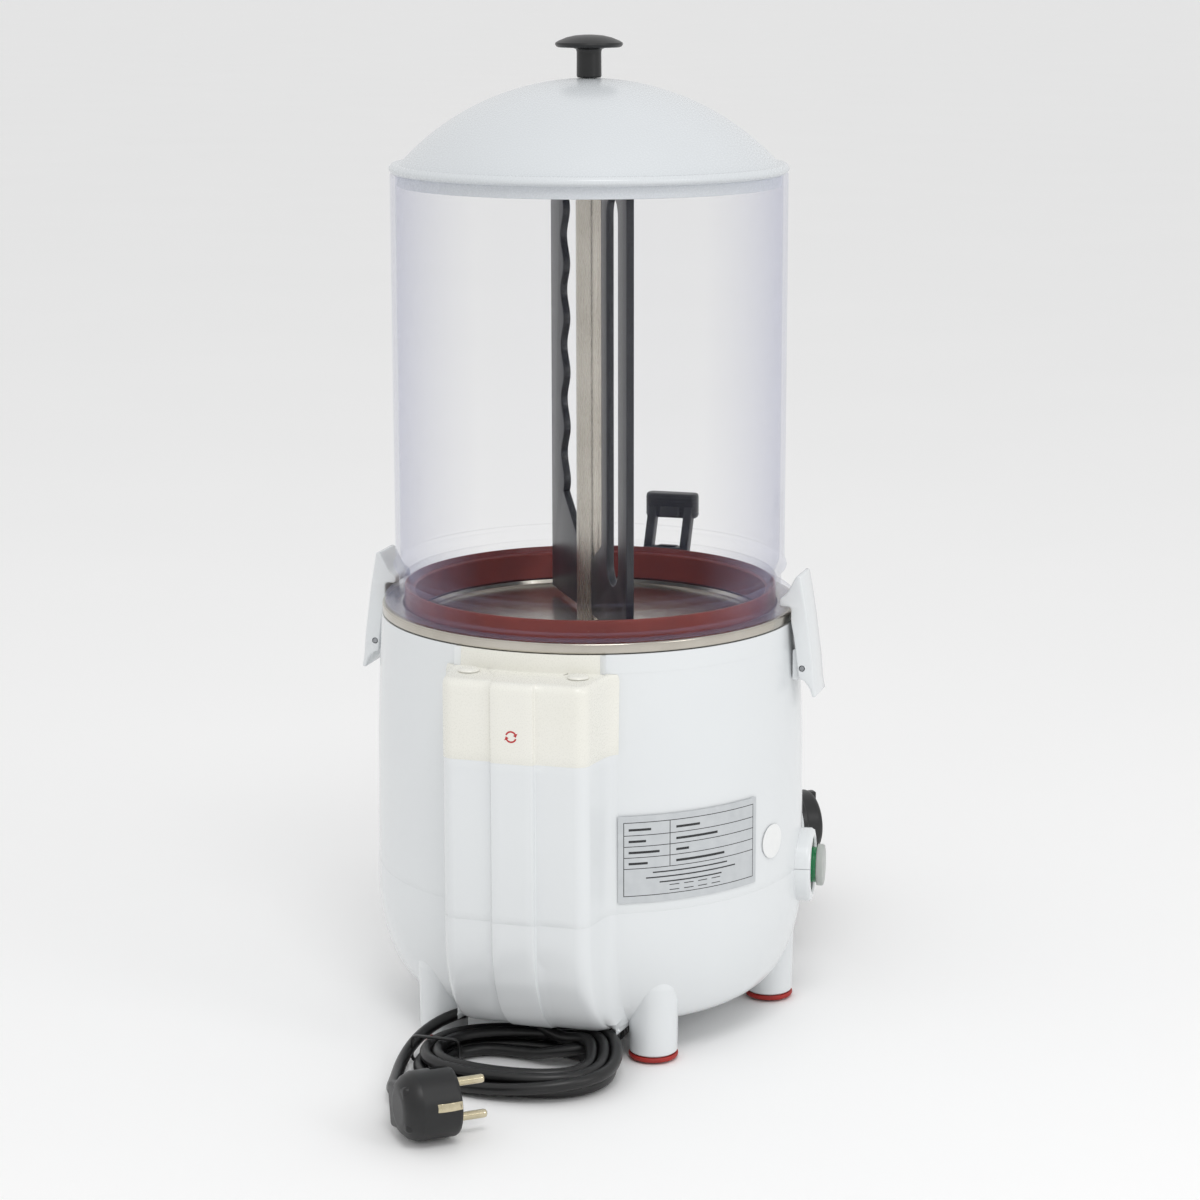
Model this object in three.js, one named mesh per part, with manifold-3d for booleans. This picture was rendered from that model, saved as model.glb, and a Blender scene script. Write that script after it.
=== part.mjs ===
// Hot drink and sauce dispenser: a clear bowl with a motor-driven stirrer over a heated steel tank,
// clamped by two side latches on a round moulded body, with a lever tap and a drip tray in front.
// Millimetres, +Z up. The tap faces -Y and the rear cover faces +Y. The bowl's axis is vertical.
import * as THREE from "three";
import { mergeVertices } from "three/addons/utils/BufferGeometryUtils.js";
import Module from "manifold-3d";

const wasm = await Module();
wasm.setup();

// ---------------------------------------------------------------- driving dimensions
const gap = 0.3; // clearance kept between neighbouring pieces
const fine = 44; // facets round the large pieces
const medium = 24; // facets round knobs, pipes and the motor
const coarse = 12; // facets round pins and small plugs

// heights from the standing surface
const padHeight = 3; // rubber foot pad
const tubFloor = 18; // underside of the base tub
const seamHeight = 93.4; // joint between the base tub and the upper shell
const shellHeight = 149.6; // upper shell, above the seam
const rimHeight = 6; // rolled rim of the tank
const bowlHeight = 251.8; // clear bowl, from its flange to its top edge
const lidRise = 54; // lid, from the bowl's top edge to the top of the dome
const shellTop = seamHeight + shellHeight;
const rimTop = shellTop + gap + rimHeight;
const bowlFoot = rimTop + gap;
const bowlTop = bowlFoot + bowlHeight;
const lidSeat = bowlTop + gap;
const lidApex = bowlTop + lidRise;

// radii about the bowl's axis, from the bowl outwards
const bowlRadius = 115.5;
const bowlWall = 3;
const neckRadius = bowlRadius - 1.9; // neck between the bead and the flange
const beadRadius = bowlRadius + 1.3;
const flangeRadius = bowlRadius + 6.5;
const flangeThickness = 3.8;
const rimRadius = flangeRadius + 1.6;
const shellTopRadius = rimRadius + 0.4; // shell under the tank rim
const bodyRadius = shellTopRadius + 4; // base tub and shell at the seam
const bodyWall = 3; // moulded wall of tub, shell and cover
const tubRoundWidth = 30; // rounded lower edge of the tub, inwards
const tubRoundHeight = seamHeight - tubFloor - 11.4; // rounded lower edge of the tub, upwards

// tank and gasket under the bowl
const steel = 1; // sheet thickness of the tank and the jacket
const tankFloor = rimTop - 12.3; // upper face of the tank floor
const gasketRadius = bowlRadius - 11.5; // inside of the bowl gasket
const gasketBoreHeight = 16;
const wellRadius = neckRadius - 2.7; // wall of the tank's well, round the gasket
const shelfHeight = 3; // step of the tank floor that carries the gasket
const drainReach = gasketRadius - 12;
const drainRadius = 8;

// rear housing on the upper shell and the tub
const boxHalfWidth = 43;
const boxFlare = 5; // extra half width where the housing meets the round body
const boxReach = bodyRadius + 22; // flat face, from the axis
const boxCorner = 8;
const boxCurlWidth = 52; // lower end of the housing, curled under the tub
const boxTop = shellTop - 11; // top of the cream cover
const coverFoot = boxTop - 45.7; // joint between the cream cover and the shell
const ribHalfWidth = 12.5;
const ribProud = 2.6;
const rearReach = boxReach + ribProud;
const stripHalfWidth = boxHalfWidth - 3.5; // cover's strip up to the tank rim
const fillerSpacing = 2 * (boxHalfWidth - 11);
const fillerReach = boxReach - 20;
const fillerRadius = 6.2;
const fillerDepth = 8;
const resetRadius = 8.5;
const resetBushRadius = 5;
const resetPinRadius = 2.1;

// five legs
const legCount = 5;
const legSpread = bodyRadius - 19; // leg centres, from the axis
const legRadius = 14;
const legHeight = 58;

// controls on the left side, given as the angle forward of the left
const switchHeight = seamHeight - 3.2;
const dialHeight = seamHeight + 1.6;
const switchAngle = 7;
const dialAngle = 38;
const switchRadius = 16;
const switchReach = bodyRadius + 6;
const switchDepth = 26;
const hoodRadius = switchRadius + 6;
const hoodReach = switchReach + 1.5;
const buttonRadius = 10.7;
const buttonLength = 5;
const buttonTravel = 2.5;
const buttonCapWall = 1.8;
const buttonCapHeight = 3;
const dialRadius = 21.4;
const dialLength = 14.5;
const dialStemRadius = 3;
const discRadius = dialRadius + 2.6;
const discReach = bodyRadius + 4.2;

// latches at the left and right
const latchWidth = 26;
const pivotReach = bodyRadius + 4.5;
const pivotHeight = bowlFoot - 32.1;
const latchPinRadius = 1.6;
const bracketWidth = latchWidth - 6.4;

// stirrer
const columnRadius = 8;
const columnBore = columnRadius - 2.1;
const columnTop = bowlTop - 6.4;
const shaftRadius = 4;
const paddleThickness = 4.5;
const paddleReach = bowlRadius - 30.5;
const paddleTop = lidSeat + 7.3;
const paddleFoot = tankFloor + 4;
const paddleInner = columnRadius + 1.8; // inner edge of both paddles
const armDepth = 10;
const bladeTop = paddleFoot + 34;
const slotOuter = paddleReach - 18;
const slotInner = slotOuter - 23;
const loopInner = slotInner - 12;
const wavyReach = paddleReach - 5;
const waveMiddle = wavyReach - 26;
const waveDepth = 3.5;
const wavePitch = 33;
const hubRadius = 13;
const stirrerAngle = 122.3; // loop paddle's direction at rest, from +X

// water jacket and drive
const jacketRadius = gasketRadius - 24;
const jacketDepth = 30;
const jacketTop = tankFloor - steel - gap;
const jacketFloor = jacketTop - jacketDepth;
const elementRadius = jacketRadius - 22;
const elementTube = 4;
const elementOpening = 18; // half the angle between the element's two ends, about the rear
const motorRadius = 28;
const motorLength = 48;
const gearboxWidth = 60;
const gearboxTop = jacketFloor - 7.7;
const gearboxHeight = 28;
const chassisHeight = seamHeight + 3.1;
const chassisThickness = 1.5;
const chassisRadius = bodyRadius - 24.5;
const bossSpread = chassisRadius - 8.5;

// tap, drawn about its own upright axis
const tapReach = bodyRadius + 32; // tap axis in front of the bowl's axis
const tapRadius = 16;
const tapBore = tapRadius - 4;
const inletHeight = tankFloor - 43;
const inletRadius = 11;
const inletBore = 6;
const tapTop = inletHeight + 20;
const tapFoot = inletHeight - 28;
const spoutRadius = 10.5;
const spoutBore = 6.8;
const spoutFoot = tapFoot - 16;
const stemRadius = 3;
const stemHeadRadius = 4.2;
const earInner = 6.5;
const earOuter = 11;
const pivotForward = 10; // handle pivot, in front of the tap's axis
const handlePivotHeight = tapTop + 22;
const gripForward = 26;
const gripHeight = handlePivotHeight + 43;
const gripWidth = 34;
const tapPinRadius = 2;

// drip tray
const trayWidth = 150;
const trayReach = bodyRadius + 129; // front edge, from the bowl's axis
const trayFoot = 24;
const trayHeight = 34;
const trayWall = 2.5;
const trayCorner = 30;
const ledgeDepth = 3;
const grilleThickness = 2;
const slotWidth = 5.2;
const slotPitch = 11;

// labels
const film = 0.5;
const labelWidth = 91.2; // along the curve
const labelHeight = 51;
const labelFoot = seamHeight + 6.1;
const labelMargin = 3.2; // from the housing's flare to the label
const stickerRadius = 10;
const stickerMargin = 7; // from the label to the sticker
const stickerHeight = seamHeight + 26.6;

// mains cord: a three-core lead with an angled plug
const cordRadius = 3.5;
const exitPoint = [-41, 62, 10.5];
const bootLength = 26;
const bootRadius = 6;
const coilCentre = [2, 136];
const coilHalfLength = 62;
const coilHalfWidth = 48;
const coilBand = 22;
const coilFoot = 0.2;
const coilHeight = 14.8;
const plugCentre = [20, 242.5, 19.3];
const plugTurn = 218.8; // direction of the plug's pins, degrees from +X
const plugRoll = 12; // the plug leans over until its neck is near the floor
const plugRadius = 19;
const plugFace = 15;
const plugBack = -16;
const neckEnd = 38;
const reliefEnd = 54;
const pinLength = 19;
const pinSpacing = 19;
const pinRadius = 2.4;

const far = 4 * bodyRadius; // beyond the whole machine
const tiny = 1;

// ---------------------------------------------------------------- materials
const finish = (color, roughness, metalness = 0) =>
  new THREE.MeshStandardMaterial({ color, roughness, metalness, flatShading: true });
const whitePlastic = finish(0xeef1f1, 0.4);
const creamPlastic = finish(0xe9eade, 0.45);
const blackPlastic = finish(0x191a1c, 0.4);
const clearPlastic = finish(0xdfe6ee, 0.08);
clearPlastic.transparent = true;
clearPlastic.opacity = 0.3;
const brushedSteel = finish(0xb9b4aa, 0.32, 1);
const zincSteel = finish(0x9a9c9e, 0.5, 1);
const brownSilicone = finish(0x6b241d, 0.6);
const redRubber = finish(0xa3231c, 0.75);
const greyRubber = finish(0x8d8f90, 0.8);
const greenPlastic = finish(0x0c7a43, 0.25);
const frostedSilicone = finish(0xd4d8d4, 0.35);
const labelFilm = finish(0xc9cdcf, 0.4);
const whitePaper = finish(0xf2f3f2, 0.6);
const blackRubber = finish(0x141416, 0.55);
const nickel = finish(0xc2bba8, 0.25, 1);

// ---------------------------------------------------------------- geometry helpers
// A closed three.js geometry as a manifold solid.
function solid(geometry) {
  const bare = geometry.clone();
  bare.deleteAttribute("normal");
  bare.deleteAttribute("uv");
  const merged = mergeVertices(bare, 1e-4);
  const corners = merged.index.array;
  const faces = [];
  for (let i = 0; i < corners.length; i += 3) {
    const [a, b, c] = [corners[i], corners[i + 1], corners[i + 2]];
    if (a !== b && b !== c && c !== a) faces.push(a, b, c);
  }
  return new wasm.Manifold(new wasm.Mesh({
    numProp: 3,
    vertProperties: merged.attributes.position.array,
    triVerts: new Uint32Array(faces),
  }));
}

// A manifold solid as a three.js geometry.
function shape(manifold) {
  const mesh = manifold.getMesh();
  const geometry = new THREE.BufferGeometry();
  geometry.setAttribute("position", new THREE.BufferAttribute(mesh.vertProperties, 3));
  geometry.setIndex(new THREE.BufferAttribute(mesh.triVerts, 1));
  geometry.computeVertexNormals();
  return geometry;
}

const joined = (...geometries) => shape(geometries.map(solid).reduce((all, next) => all.add(next)));
const cut = (geometry, ...tools) =>
  shape(tools.map(solid).reduce((all, next) => all.subtract(next), solid(geometry)));
const common = (geometry, ...others) =>
  shape(others.map(solid).reduce((all, next) => all.intersect(next), solid(geometry)));

// A closed outline of [radius, height] points turned about +Z.
function turned(outline, facets = fine) {
  let area = 0;
  outline.forEach(([r, z], i) => {
    const [nextR, nextZ] = outline[(i + 1) % outline.length];
    area += r * nextZ - nextR * z;
  });
  const points = (area > 0 ? outline : [...outline].reverse()).map(([r, z]) => new THREE.Vector2(r, z));
  const onAxis = outline.filter(([r]) => r === 0).length > 0;
  if (onAxis) while (points[0].x !== 0 || points[points.length - 1].x !== 0) points.push(points.shift());
  else points.push(points[0].clone());
  return new THREE.LatheGeometry(points, facets).rotateX(Math.PI / 2);
}

// A ring or disc between two radii and two heights.
function ring(innerRadius, outerRadius, low, high, facets = medium) {
  return turned([[innerRadius, low], [outerRadius, low], [outerRadius, high], [innerRadius, high]], facets);
}

const rod = (radius, low, high, facets = medium) => ring(0, radius, low, high, facets);

// The same, lying along +X or +Y.
const rodX = (radius, from, to, facets = medium) => rod(radius, from, to, facets).rotateY(Math.PI / 2);
const rodY = (radius, from, to, facets = medium) => rod(radius, -to, -from, facets).rotateX(Math.PI / 2);
const ringY = (inner, outer, from, to) => ring(inner, outer, -to, -from).rotateX(Math.PI / 2);

// A box given by its ranges.
function block([x0, x1], [y0, y1], [z0, z1]) {
  return new THREE.BoxGeometry(x1 - x0, y1 - y0, z1 - z0)
    .translate((x0 + x1) / 2, (y0 + y1) / 2, (z0 + z1) / 2);
}

function path2(points) {
  return new THREE.Shape(points.map(([x, y]) => new THREE.Vector2(x, y)));
}

// An outline in the XY plane raised from low to high.
function raised(outline, low, high, facets = 8) {
  const flat = outline instanceof THREE.Shape ? outline : path2(outline);
  return new THREE.ExtrudeGeometry(flat, { depth: high - low, bevelEnabled: false, curveSegments: facets })
    .translate(0, 0, low);
}

// An outline of [x, z] points given a thickness along Y, centred.
function slabXZ(outline, thickness, facets = 8) {
  return raised(outline, -thickness / 2, thickness / 2, facets).rotateX(Math.PI / 2);
}

// An outline of [y, z] points given a thickness along X, centred.
function slabYZ(outline, thickness, facets = 8) {
  return raised(outline, -thickness / 2, thickness / 2, facets).rotateX(Math.PI / 2).rotateZ(Math.PI / 2);
}

// A solid or hollow round tube along a curve.
function tube(curve, radius, steps, facets = 8, bore = 0) {
  const section = new THREE.Shape().absarc(0, 0, radius, 0, 2 * Math.PI);
  if (bore > 0) section.holes.push(new THREE.Path().absarc(0, 0, bore, 0, 2 * Math.PI, true));
  const options = { steps, extrudePath: curve, curveSegments: facets, bevelEnabled: false };
  return new THREE.ExtrudeGeometry(section, options);
}

// A rectangle outline with rounded corners.
function roundedRectangle(x0, x1, y0, y1, radius) {
  const outline = new THREE.Shape();
  outline.moveTo(x0 + radius, y0);
  outline.absarc(x1 - radius, y0 + radius, radius, -Math.PI / 2, 0);
  outline.absarc(x1 - radius, y1 - radius, radius, 0, Math.PI / 2);
  outline.absarc(x0 + radius, y1 - radius, radius, Math.PI / 2, Math.PI);
  outline.absarc(x0 + radius, y0 + radius, radius, Math.PI, 1.5 * Math.PI);
  return outline;
}

function piece(name, geometry, material) {
  const mesh = new THREE.Mesh(geometry, material);
  mesh.name = name;
  return mesh;
}

const radians = THREE.MathUtils.degToRad;

// ---------------------------------------------------------------- round body
const machine = new THREE.Group();

// The outside of the tub and shell, as a turned outline moved in by a wall and carried past the top.
function bodyOutline(inset, past = 0) {
  const outline = [[0, tubFloor + inset]];
  const roundCentre = bodyRadius - tubRoundWidth;
  for (let i = 0; i <= 5; i++) {
    const turn = (i / 5) * (Math.PI / 2);
    const radius = roundCentre + (tubRoundWidth - inset) * Math.sin(turn);
    const height = tubFloor + tubRoundHeight - (tubRoundHeight - inset) * Math.cos(turn);
    outline.push([radius, height]);
  }
  outline.push([bodyRadius - inset, seamHeight]);
  outline.push([bodyRadius - 0.8 - inset, seamHeight + shellHeight / 2]);
  outline.push([shellTopRadius - inset, shellTop + past]);
  outline.push([0, shellTop + past]);
  return outline;
}

// The rear housing, as an upright outline whose lower edge is rounded under the tub.
function rearHousing(inset) {
  const half = boxHalfWidth - inset;
  const face = boxReach - inset;
  const root = bodyRadius - 30;
  const outline = path2([
    [-half - boxFlare, root],
    [half + boxFlare, root],
    [half + boxFlare, bodyRadius - 10],
    [half, face - boxCorner],
    [half - boxCorner * 0.3, face - boxCorner * 0.3],
    [half - boxCorner, face],
    [-half + boxCorner, face],
    [-half + boxCorner * 0.3, face - boxCorner * 0.3],
    [-half, face - boxCorner],
    [-half - boxFlare, bodyRadius - 10],
  ]);
  return common(raised(outline, tubFloor + inset, boxTop - inset), housingSide(face, inset));
}

// The housing's side view: upright face, rounded at the top edge and curled under at the bottom.
function housingSide(face, inset) {
  const side = new THREE.Shape();
  const edge = 5; // rounded top edge
  side.moveTo(0, tubFloor + inset);
  const curlTop = tubFloor + inset + tubRoundHeight;
  side.lineTo(face - boxCurlWidth, tubFloor + inset);
  side.absellipse(face - boxCurlWidth, curlTop, boxCurlWidth, tubRoundHeight, -Math.PI / 2, 0);
  side.lineTo(face, boxTop - inset - edge);
  side.lineTo(face - edge * 0.3, boxTop - inset - edge * 0.3);
  side.lineTo(face - edge, boxTop - inset);
  side.lineTo(0, boxTop - inset);
  return slabYZ(side, 4 * boxHalfWidth, 6);
}

// The centre rib that wraps over the housing.
function rearRib() {
  const strip = block(
    [-ribHalfWidth, ribHalfWidth],
    [bossRoot, 2 * boxReach],
    [tubFloor, boxTop + ribProud],
  );
  return common(strip, housingSide(boxReach + ribProud, -ribProud * 0.6));
}

// A round boss whose axis points outwards at an angle forward of the left side.
function sideRod(angle, radius, from, to, height, facets = medium) {
  return rodX(radius, from, to, facets).rotateZ(Math.PI + radians(angle)).translate(0, 0, height);
}

const bossRoot = bodyRadius - 20;
const bodyOutside = joined(
  turned(bodyOutline(0)),
  rearHousing(0),
  rearRib(),
  sideRod(switchAngle, hoodRadius, bossRoot, hoodReach, switchHeight),
  sideRod(dialAngle, discRadius, bossRoot, discReach, dialHeight),
);
const bodyInside = joined(
  turned(bodyOutline(bodyWall, tiny)),
  rearHousing(bodyWall),
  sideRod(switchAngle, hoodRadius - bodyWall, bossRoot, hoodReach - bodyWall, switchHeight),
  sideRod(dialAngle, discRadius - bodyWall, bossRoot, discReach - bodyWall, dialHeight),
);
const bodyShell = cut(bodyOutside, bodyInside);

const between = (low, high) => block([-far, far], [-far, far], [low, high]);
const resetHole = rodY(resetRadius + gap, boxReach - 12, boxReach + 12).translate(0, 0, coverFoot);
const switchHole = sideRod(switchAngle, switchRadius + gap, bossRoot - 10, far, switchHeight);
const dialHole = sideRod(dialAngle, dialStemRadius + 2, bossRoot - 10, far, dialHeight);
const tapHole = rodY(inletRadius + gap, -far, 0).translate(0, 0, inletHeight);

// The cream cover takes the top of the housing and the strip above it.
function coverZone(margin) {
  const half = boxHalfWidth + 17;
  const strip = stripHalfWidth + margin;
  return joined(
    block([-half, half], [bodyRadius - 9.8 - margin, far], [coverFoot - margin, shellTop + tiny]),
    block([-strip, strip], [bodyRadius - 40, far], [boxTop - 8, shellTop + tiny]),
  );
}
const stripOnly = joined(
  between(0, boxTop + ribProud),
  block([-stripHalfWidth, stripHalfWidth], [0, far], [boxTop, far]),
);

const fillerPlaces = [-fillerSpacing / 2, fillerSpacing / 2];

function rearCover() {
  const holes = fillerPlaces.map((x) => rod(fillerRadius - 1, boxTop - fillerDepth - 4, boxTop + 8, coarse)
    .translate(x, fillerReach, 0));
  return cut(common(bodyShell, common(coverZone(0), stripOnly)), resetHole, ...holes);
}

function upperShell() {
  const walls = common(bodyShell, between(seamHeight + gap, shellTop));
  const coverRoom = common(coverZone(gap), joined(
    between(0, boxTop + ribProud + gap),
    block([-stripHalfWidth - gap, stripHalfWidth + gap], [0, far], [boxTop, far]),
  ));
  return cut(walls, coverRoom, resetHole, switchHole, dialHole, tapHole);
}

const legPlaces = Array.from({ length: legCount }, (_, i) => {
  const turn = radians(90 + (360 / legCount) * (i + 0.5));
  return [legSpread * Math.cos(turn), legSpread * Math.sin(turn)];
});
const bossPlaces = [60, 120, 240, 300].map((turn) => [
  bossSpread * Math.cos(radians(turn)),
  bossSpread * Math.sin(radians(turn)),
]);
const railPlaces = [-1, 1].map((side) => side * (trayWidth / 2 - 29));
const railWidth = 14;
const railReach = 69; // in front of the tub, under the tray
const bossRadius = 7;

function baseTub() {
  const walls = common(bodyShell, between(0, seamHeight));
  const leg = rod(legRadius, padHeight + gap, legHeight, coarse);
  const boss = rod(bossRadius, tubFloor + 1, chassisHeight - gap, coarse);
  const legs = legPlaces.map(([x, y]) => leg.clone().translate(x, y, 0));
  const bosses = bossPlaces.map(([x, y]) => boss.clone().translate(x, y, 0));
  const rails = railPlaces.map((x) => block(
    [x - railWidth / 2, x + railWidth / 2],
    [-bodyRadius - railReach, -bodyRadius + 38],
    [tubFloor, trayFoot - gap],
  ));
  const legTops = cut(joined(...legs), bodyInside);
  return cut(joined(walls, legTops, ...bosses, ...rails), switchHole, dialHole);
}

machine.add(
  piece("base_tub", baseTub(), whitePlastic),
  piece("upper_shell", upperShell(), whitePlastic),
  piece("rear_cover", rearCover(), creamPlastic),
);

legPlaces.forEach(([x, y], i) => {
  const pad = piece(`foot_pad_${i + 1}`, rod(legRadius + 0.4, 0, padHeight, 20), redRubber);
  pad.position.set(x, y, 0);
  machine.add(pad);
});

// Two push-in plugs close the filling holes of the water bath.
function fillerPlug() {
  return joined(
    turned([
      [0, gap], [fillerRadius, gap], [fillerRadius, 1.2], [fillerRadius - 1.5, 2.2], [0, 2.6],
    ], coarse),
    rod(fillerRadius - 1 - gap, -fillerDepth, 1, coarse),
  );
}
fillerPlaces.forEach((x, i) => {
  const plug = piece(["filler_plug_left", "filler_plug_right"][i], fillerPlug(), creamPlastic);
  plug.position.set(x, fillerReach, boxTop);
  machine.add(plug);
});

// ---------------------------------------------------------------- reset control behind the rear cover
function resetCap() {
  const face = rearReach - 0.2;
  const coin = block([-resetRadius, resetRadius], [face - 1, face + 1], [-0.7, 0.7]);
  return cut(
    joined(rodY(resetRadius, boxReach - 1.5, face), rodY(resetBushRadius + 2.3, boxReach - 9, boxReach)),
    rodY(resetBushRadius + gap, boxReach - 12, boxReach - 0.6, coarse),
    coin,
  );
}
function resetThermostat() {
  return cut(
    joined(
      block([-15, 15], [boxReach - 42, boxReach - 16], [-13, 13]),
      rodY(resetBushRadius, boxReach - 20, boxReach - 3, coarse),
    ),
    rodY(resetPinRadius + gap, boxReach - 14, boxReach, coarse),
  );
}
const reset = new THREE.Group();
reset.position.z = coverFoot;
reset.add(
  piece("reset_cap", resetCap(), whitePlastic),
  piece("reset_thermostat", resetThermostat(), blackPlastic),
  piece("reset_button", rodY(resetPinRadius, boxReach - 11, boxReach - 1.5, coarse), redRubber),
);
machine.add(reset);

// ---------------------------------------------------------------- tank, gasket and bowl
function innerTank() {
  const shelf = tankFloor + shelfHeight;
  const rimUnder = rimTop - steel - 0.4;
  const outline = [
    [columnRadius + gap, tankFloor], [gasketRadius - 2, tankFloor], [gasketRadius - 0.5, shelf],
    [wellRadius, shelf], [wellRadius, rimTop], [rimRadius - 1, rimTop], [rimRadius, rimTop - 1],
    [rimRadius, rimTop - rimHeight], [rimRadius - steel, rimTop - rimHeight], [rimRadius - steel, rimUnder],
    [wellRadius + steel, rimUnder], [wellRadius + steel, shelf - steel], [gasketRadius, shelf - steel],
    [gasketRadius - 1.5, tankFloor - steel], [columnRadius + gap, tankFloor - steel],
  ];
  const drain = rod(drainRadius + gap, tankFloor - 5, tankFloor + 5, coarse).translate(0, -drainReach, 0);
  return cut(turned(outline), drain);
}

function bowlGasket() {
  const foot = tankFloor + shelfHeight + gap;
  const top = foot + gasketBoreHeight;
  const outer = wellRadius - gap;
  return turned([
    [gasketRadius, foot], [outer, foot], [outer, rimTop - 0.4], [outer - 0.4, top + 3.5],
    [outer - 1.5, top + 3.5], [outer - 2.4, top], [gasketRadius, top],
  ]);
}

function clearBowl() {
  const neckFoot = bowlFoot + flangeThickness;
  const neckInner = neckRadius - bowlWall + 0.2;
  const beadHeight = bowlFoot + 20;
  const gasketTop = tankFloor + shelfHeight + 2 * gap + gasketBoreHeight;
  return turned([
    [neckInner, bowlFoot], [flangeRadius, bowlFoot], [flangeRadius, neckFoot - 0.8],
    [flangeRadius - 1, neckFoot],
    [neckRadius + 0.8, neckFoot], [neckRadius, neckFoot + 3], [neckRadius, beadHeight - 3],
    [beadRadius, beadHeight - 0.5], [beadRadius, beadHeight + 4.5], [bowlRadius, beadHeight + 6.5],
    [bowlRadius, bowlTop], [bowlRadius - bowlWall, bowlTop], [bowlRadius - bowlWall, beadHeight + 5],
    [gasketRadius + 1.2, gasketTop], [gasketRadius + 3.6, gasketTop], [neckInner - 1, beadHeight - 5],
    [neckInner, beadHeight - 6],
  ]);
}

machine.add(
  piece("inner_tank", innerTank(), brushedSteel),
  piece("bowl_gasket", bowlGasket(), brownSilicone),
  piece("bowl", clearBowl(), clearPlastic),
);

// ---------------------------------------------------------------- lid
const lidSheet = 2;
const lidRadius = bowlRadius + 0.5;
const lipWidth = 6;
const lipHeight = 5.6;
const lidHole = 2.8;
const skirtDepth = 7.2;
const skirtRadius = bowlRadius - bowlWall - 1.2;
const domeEdge = lidRadius - lipWidth;
const domeRise = lidRise - 5;
const domeRadius = (domeEdge ** 2 + domeRise ** 2) / (2 * domeRise);

// Points on the dome from one radius to another.
function domeArc(sphere, from, to, count) {
  const centre = lidApex - domeRadius;
  return Array.from({ length: count + 1 }, (_, i) => {
    const radius = from + ((to - from) * i) / count;
    return [radius, centre + Math.sqrt(sphere ** 2 - radius ** 2)];
  });
}

function lid() {
  return turned([
    ...domeArc(domeRadius, lidHole, domeEdge, 4),
    [domeEdge + 2.4, lidSeat + lipHeight], [lidRadius - 1, lidSeat + lipHeight - 0.5],
    [lidRadius, lidSeat + lipHeight / 2], [lidRadius - 0.6, lidSeat], [skirtRadius, lidSeat],
    [skirtRadius, lidSeat - skirtDepth], [skirtRadius - lidSheet, lidSeat - skirtDepth],
    ...domeArc(domeRadius - lidSheet, skirtRadius - lidSheet, lidHole, 4),
  ]);
}

const knobRadius = 19.6;
const knobStem = 7.3;
const knobHeight = 24.4;
function lidKnob() {
  return turned([
    [0, 12], [2.6, 12], [2.6, 0], [knobStem - 0.6, 0], [knobStem, 1.5], [knobStem - 0.4, knobHeight - 8.5],
    [knobStem + 2, knobHeight - 7.6], [knobRadius - 1.2, knobHeight - 7.2], [knobRadius, knobHeight - 5.6],
    [knobRadius - 2.4, knobHeight - 3.6], [knobRadius * 0.5, knobHeight - 0.7], [0, knobHeight],
  ], medium);
}

function lidScrew() {
  const under = lidApex - lidSheet - gap;
  return turned([
    [0, under - 3], [4, under - 2.7], [5, under - 1.2], [5, under - 0.2], [2.3, under - 0.2],
    [2.3, lidApex + 11], [0, lidApex + 11],
  ], coarse);
}

const knob = piece("lid_knob", lidKnob(), blackPlastic);
knob.position.z = lidApex + gap;
machine.add(piece("lid", lid(), whitePlastic), knob, piece("lid_screw", lidScrew(), zincSteel));

// ---------------------------------------------------------------- stirrer and drive
// Outlines are in the plane of the paddles: distance from the axis, height.
function loopPaddle() {
  const outline = path2([
    [paddleInner, paddleFoot], [paddleReach, paddleFoot], [paddleReach, paddleTop],
    [hubRadius + gap, paddleTop], [hubRadius + gap, paddleTop - armDepth],
    [loopInner, paddleTop - armDepth], [loopInner, bladeTop + 12], [paddleInner, bladeTop],
  ]);
  const slotRadius = (slotOuter - slotInner) / 2;
  const slotMiddle = (slotOuter + slotInner) / 2;
  const slot = new THREE.Path();
  slot.absarc(slotMiddle, paddleTop - 17 - slotRadius, slotRadius, 0, Math.PI);
  slot.absarc(slotMiddle, bladeTop - 7 + slotRadius, slotRadius, Math.PI, 2 * Math.PI);
  outline.holes.push(slot);
  return slabXZ(outline, paddleThickness, 6);
}

function wavyPaddle() {
  const outline = [
    [paddleInner, paddleFoot], [wavyReach, paddleFoot], [wavyReach, paddleTop],
    [hubRadius + gap, paddleTop], [hubRadius + gap, paddleTop - armDepth],
    [waveMiddle - 6, paddleTop - armDepth],
  ];
  const top = paddleTop - armDepth - 6;
  const foot = bladeTop + 30;
  const steps = 36;
  for (let i = 0; i <= steps; i++) {
    const height = top + ((foot - top) * i) / steps;
    outline.push([waveMiddle + waveDepth * Math.cos((2 * Math.PI * (top - height)) / wavePitch), height]);
  }
  outline.push([paddleInner, bladeTop]);
  return slabXZ(outline, paddleThickness);
}

const stirrer = new THREE.Group();
stirrer.rotation.z = radians(stirrerAngle);
const loop = piece("loop_paddle", loopPaddle(), blackPlastic);
const wavy = piece("wavy_paddle", wavyPaddle(), blackPlastic);
wavy.rotation.z = Math.PI;
const hubFoot = columnTop + 3.5;
const hubTop = paddleTop + 4;
const hub = cut(
  turned([
    [0, hubFoot], [hubRadius, hubFoot], [hubRadius, hubTop - 2], [hubRadius - 2, hubTop], [0, hubTop],
  ], medium),
  rod(shaftRadius + gap, hubFoot - 1, paddleTop, coarse),
);
stirrer.add(loop, wavy, piece("stirrer_hub", hub, blackPlastic));
machine.add(stirrer);

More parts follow.
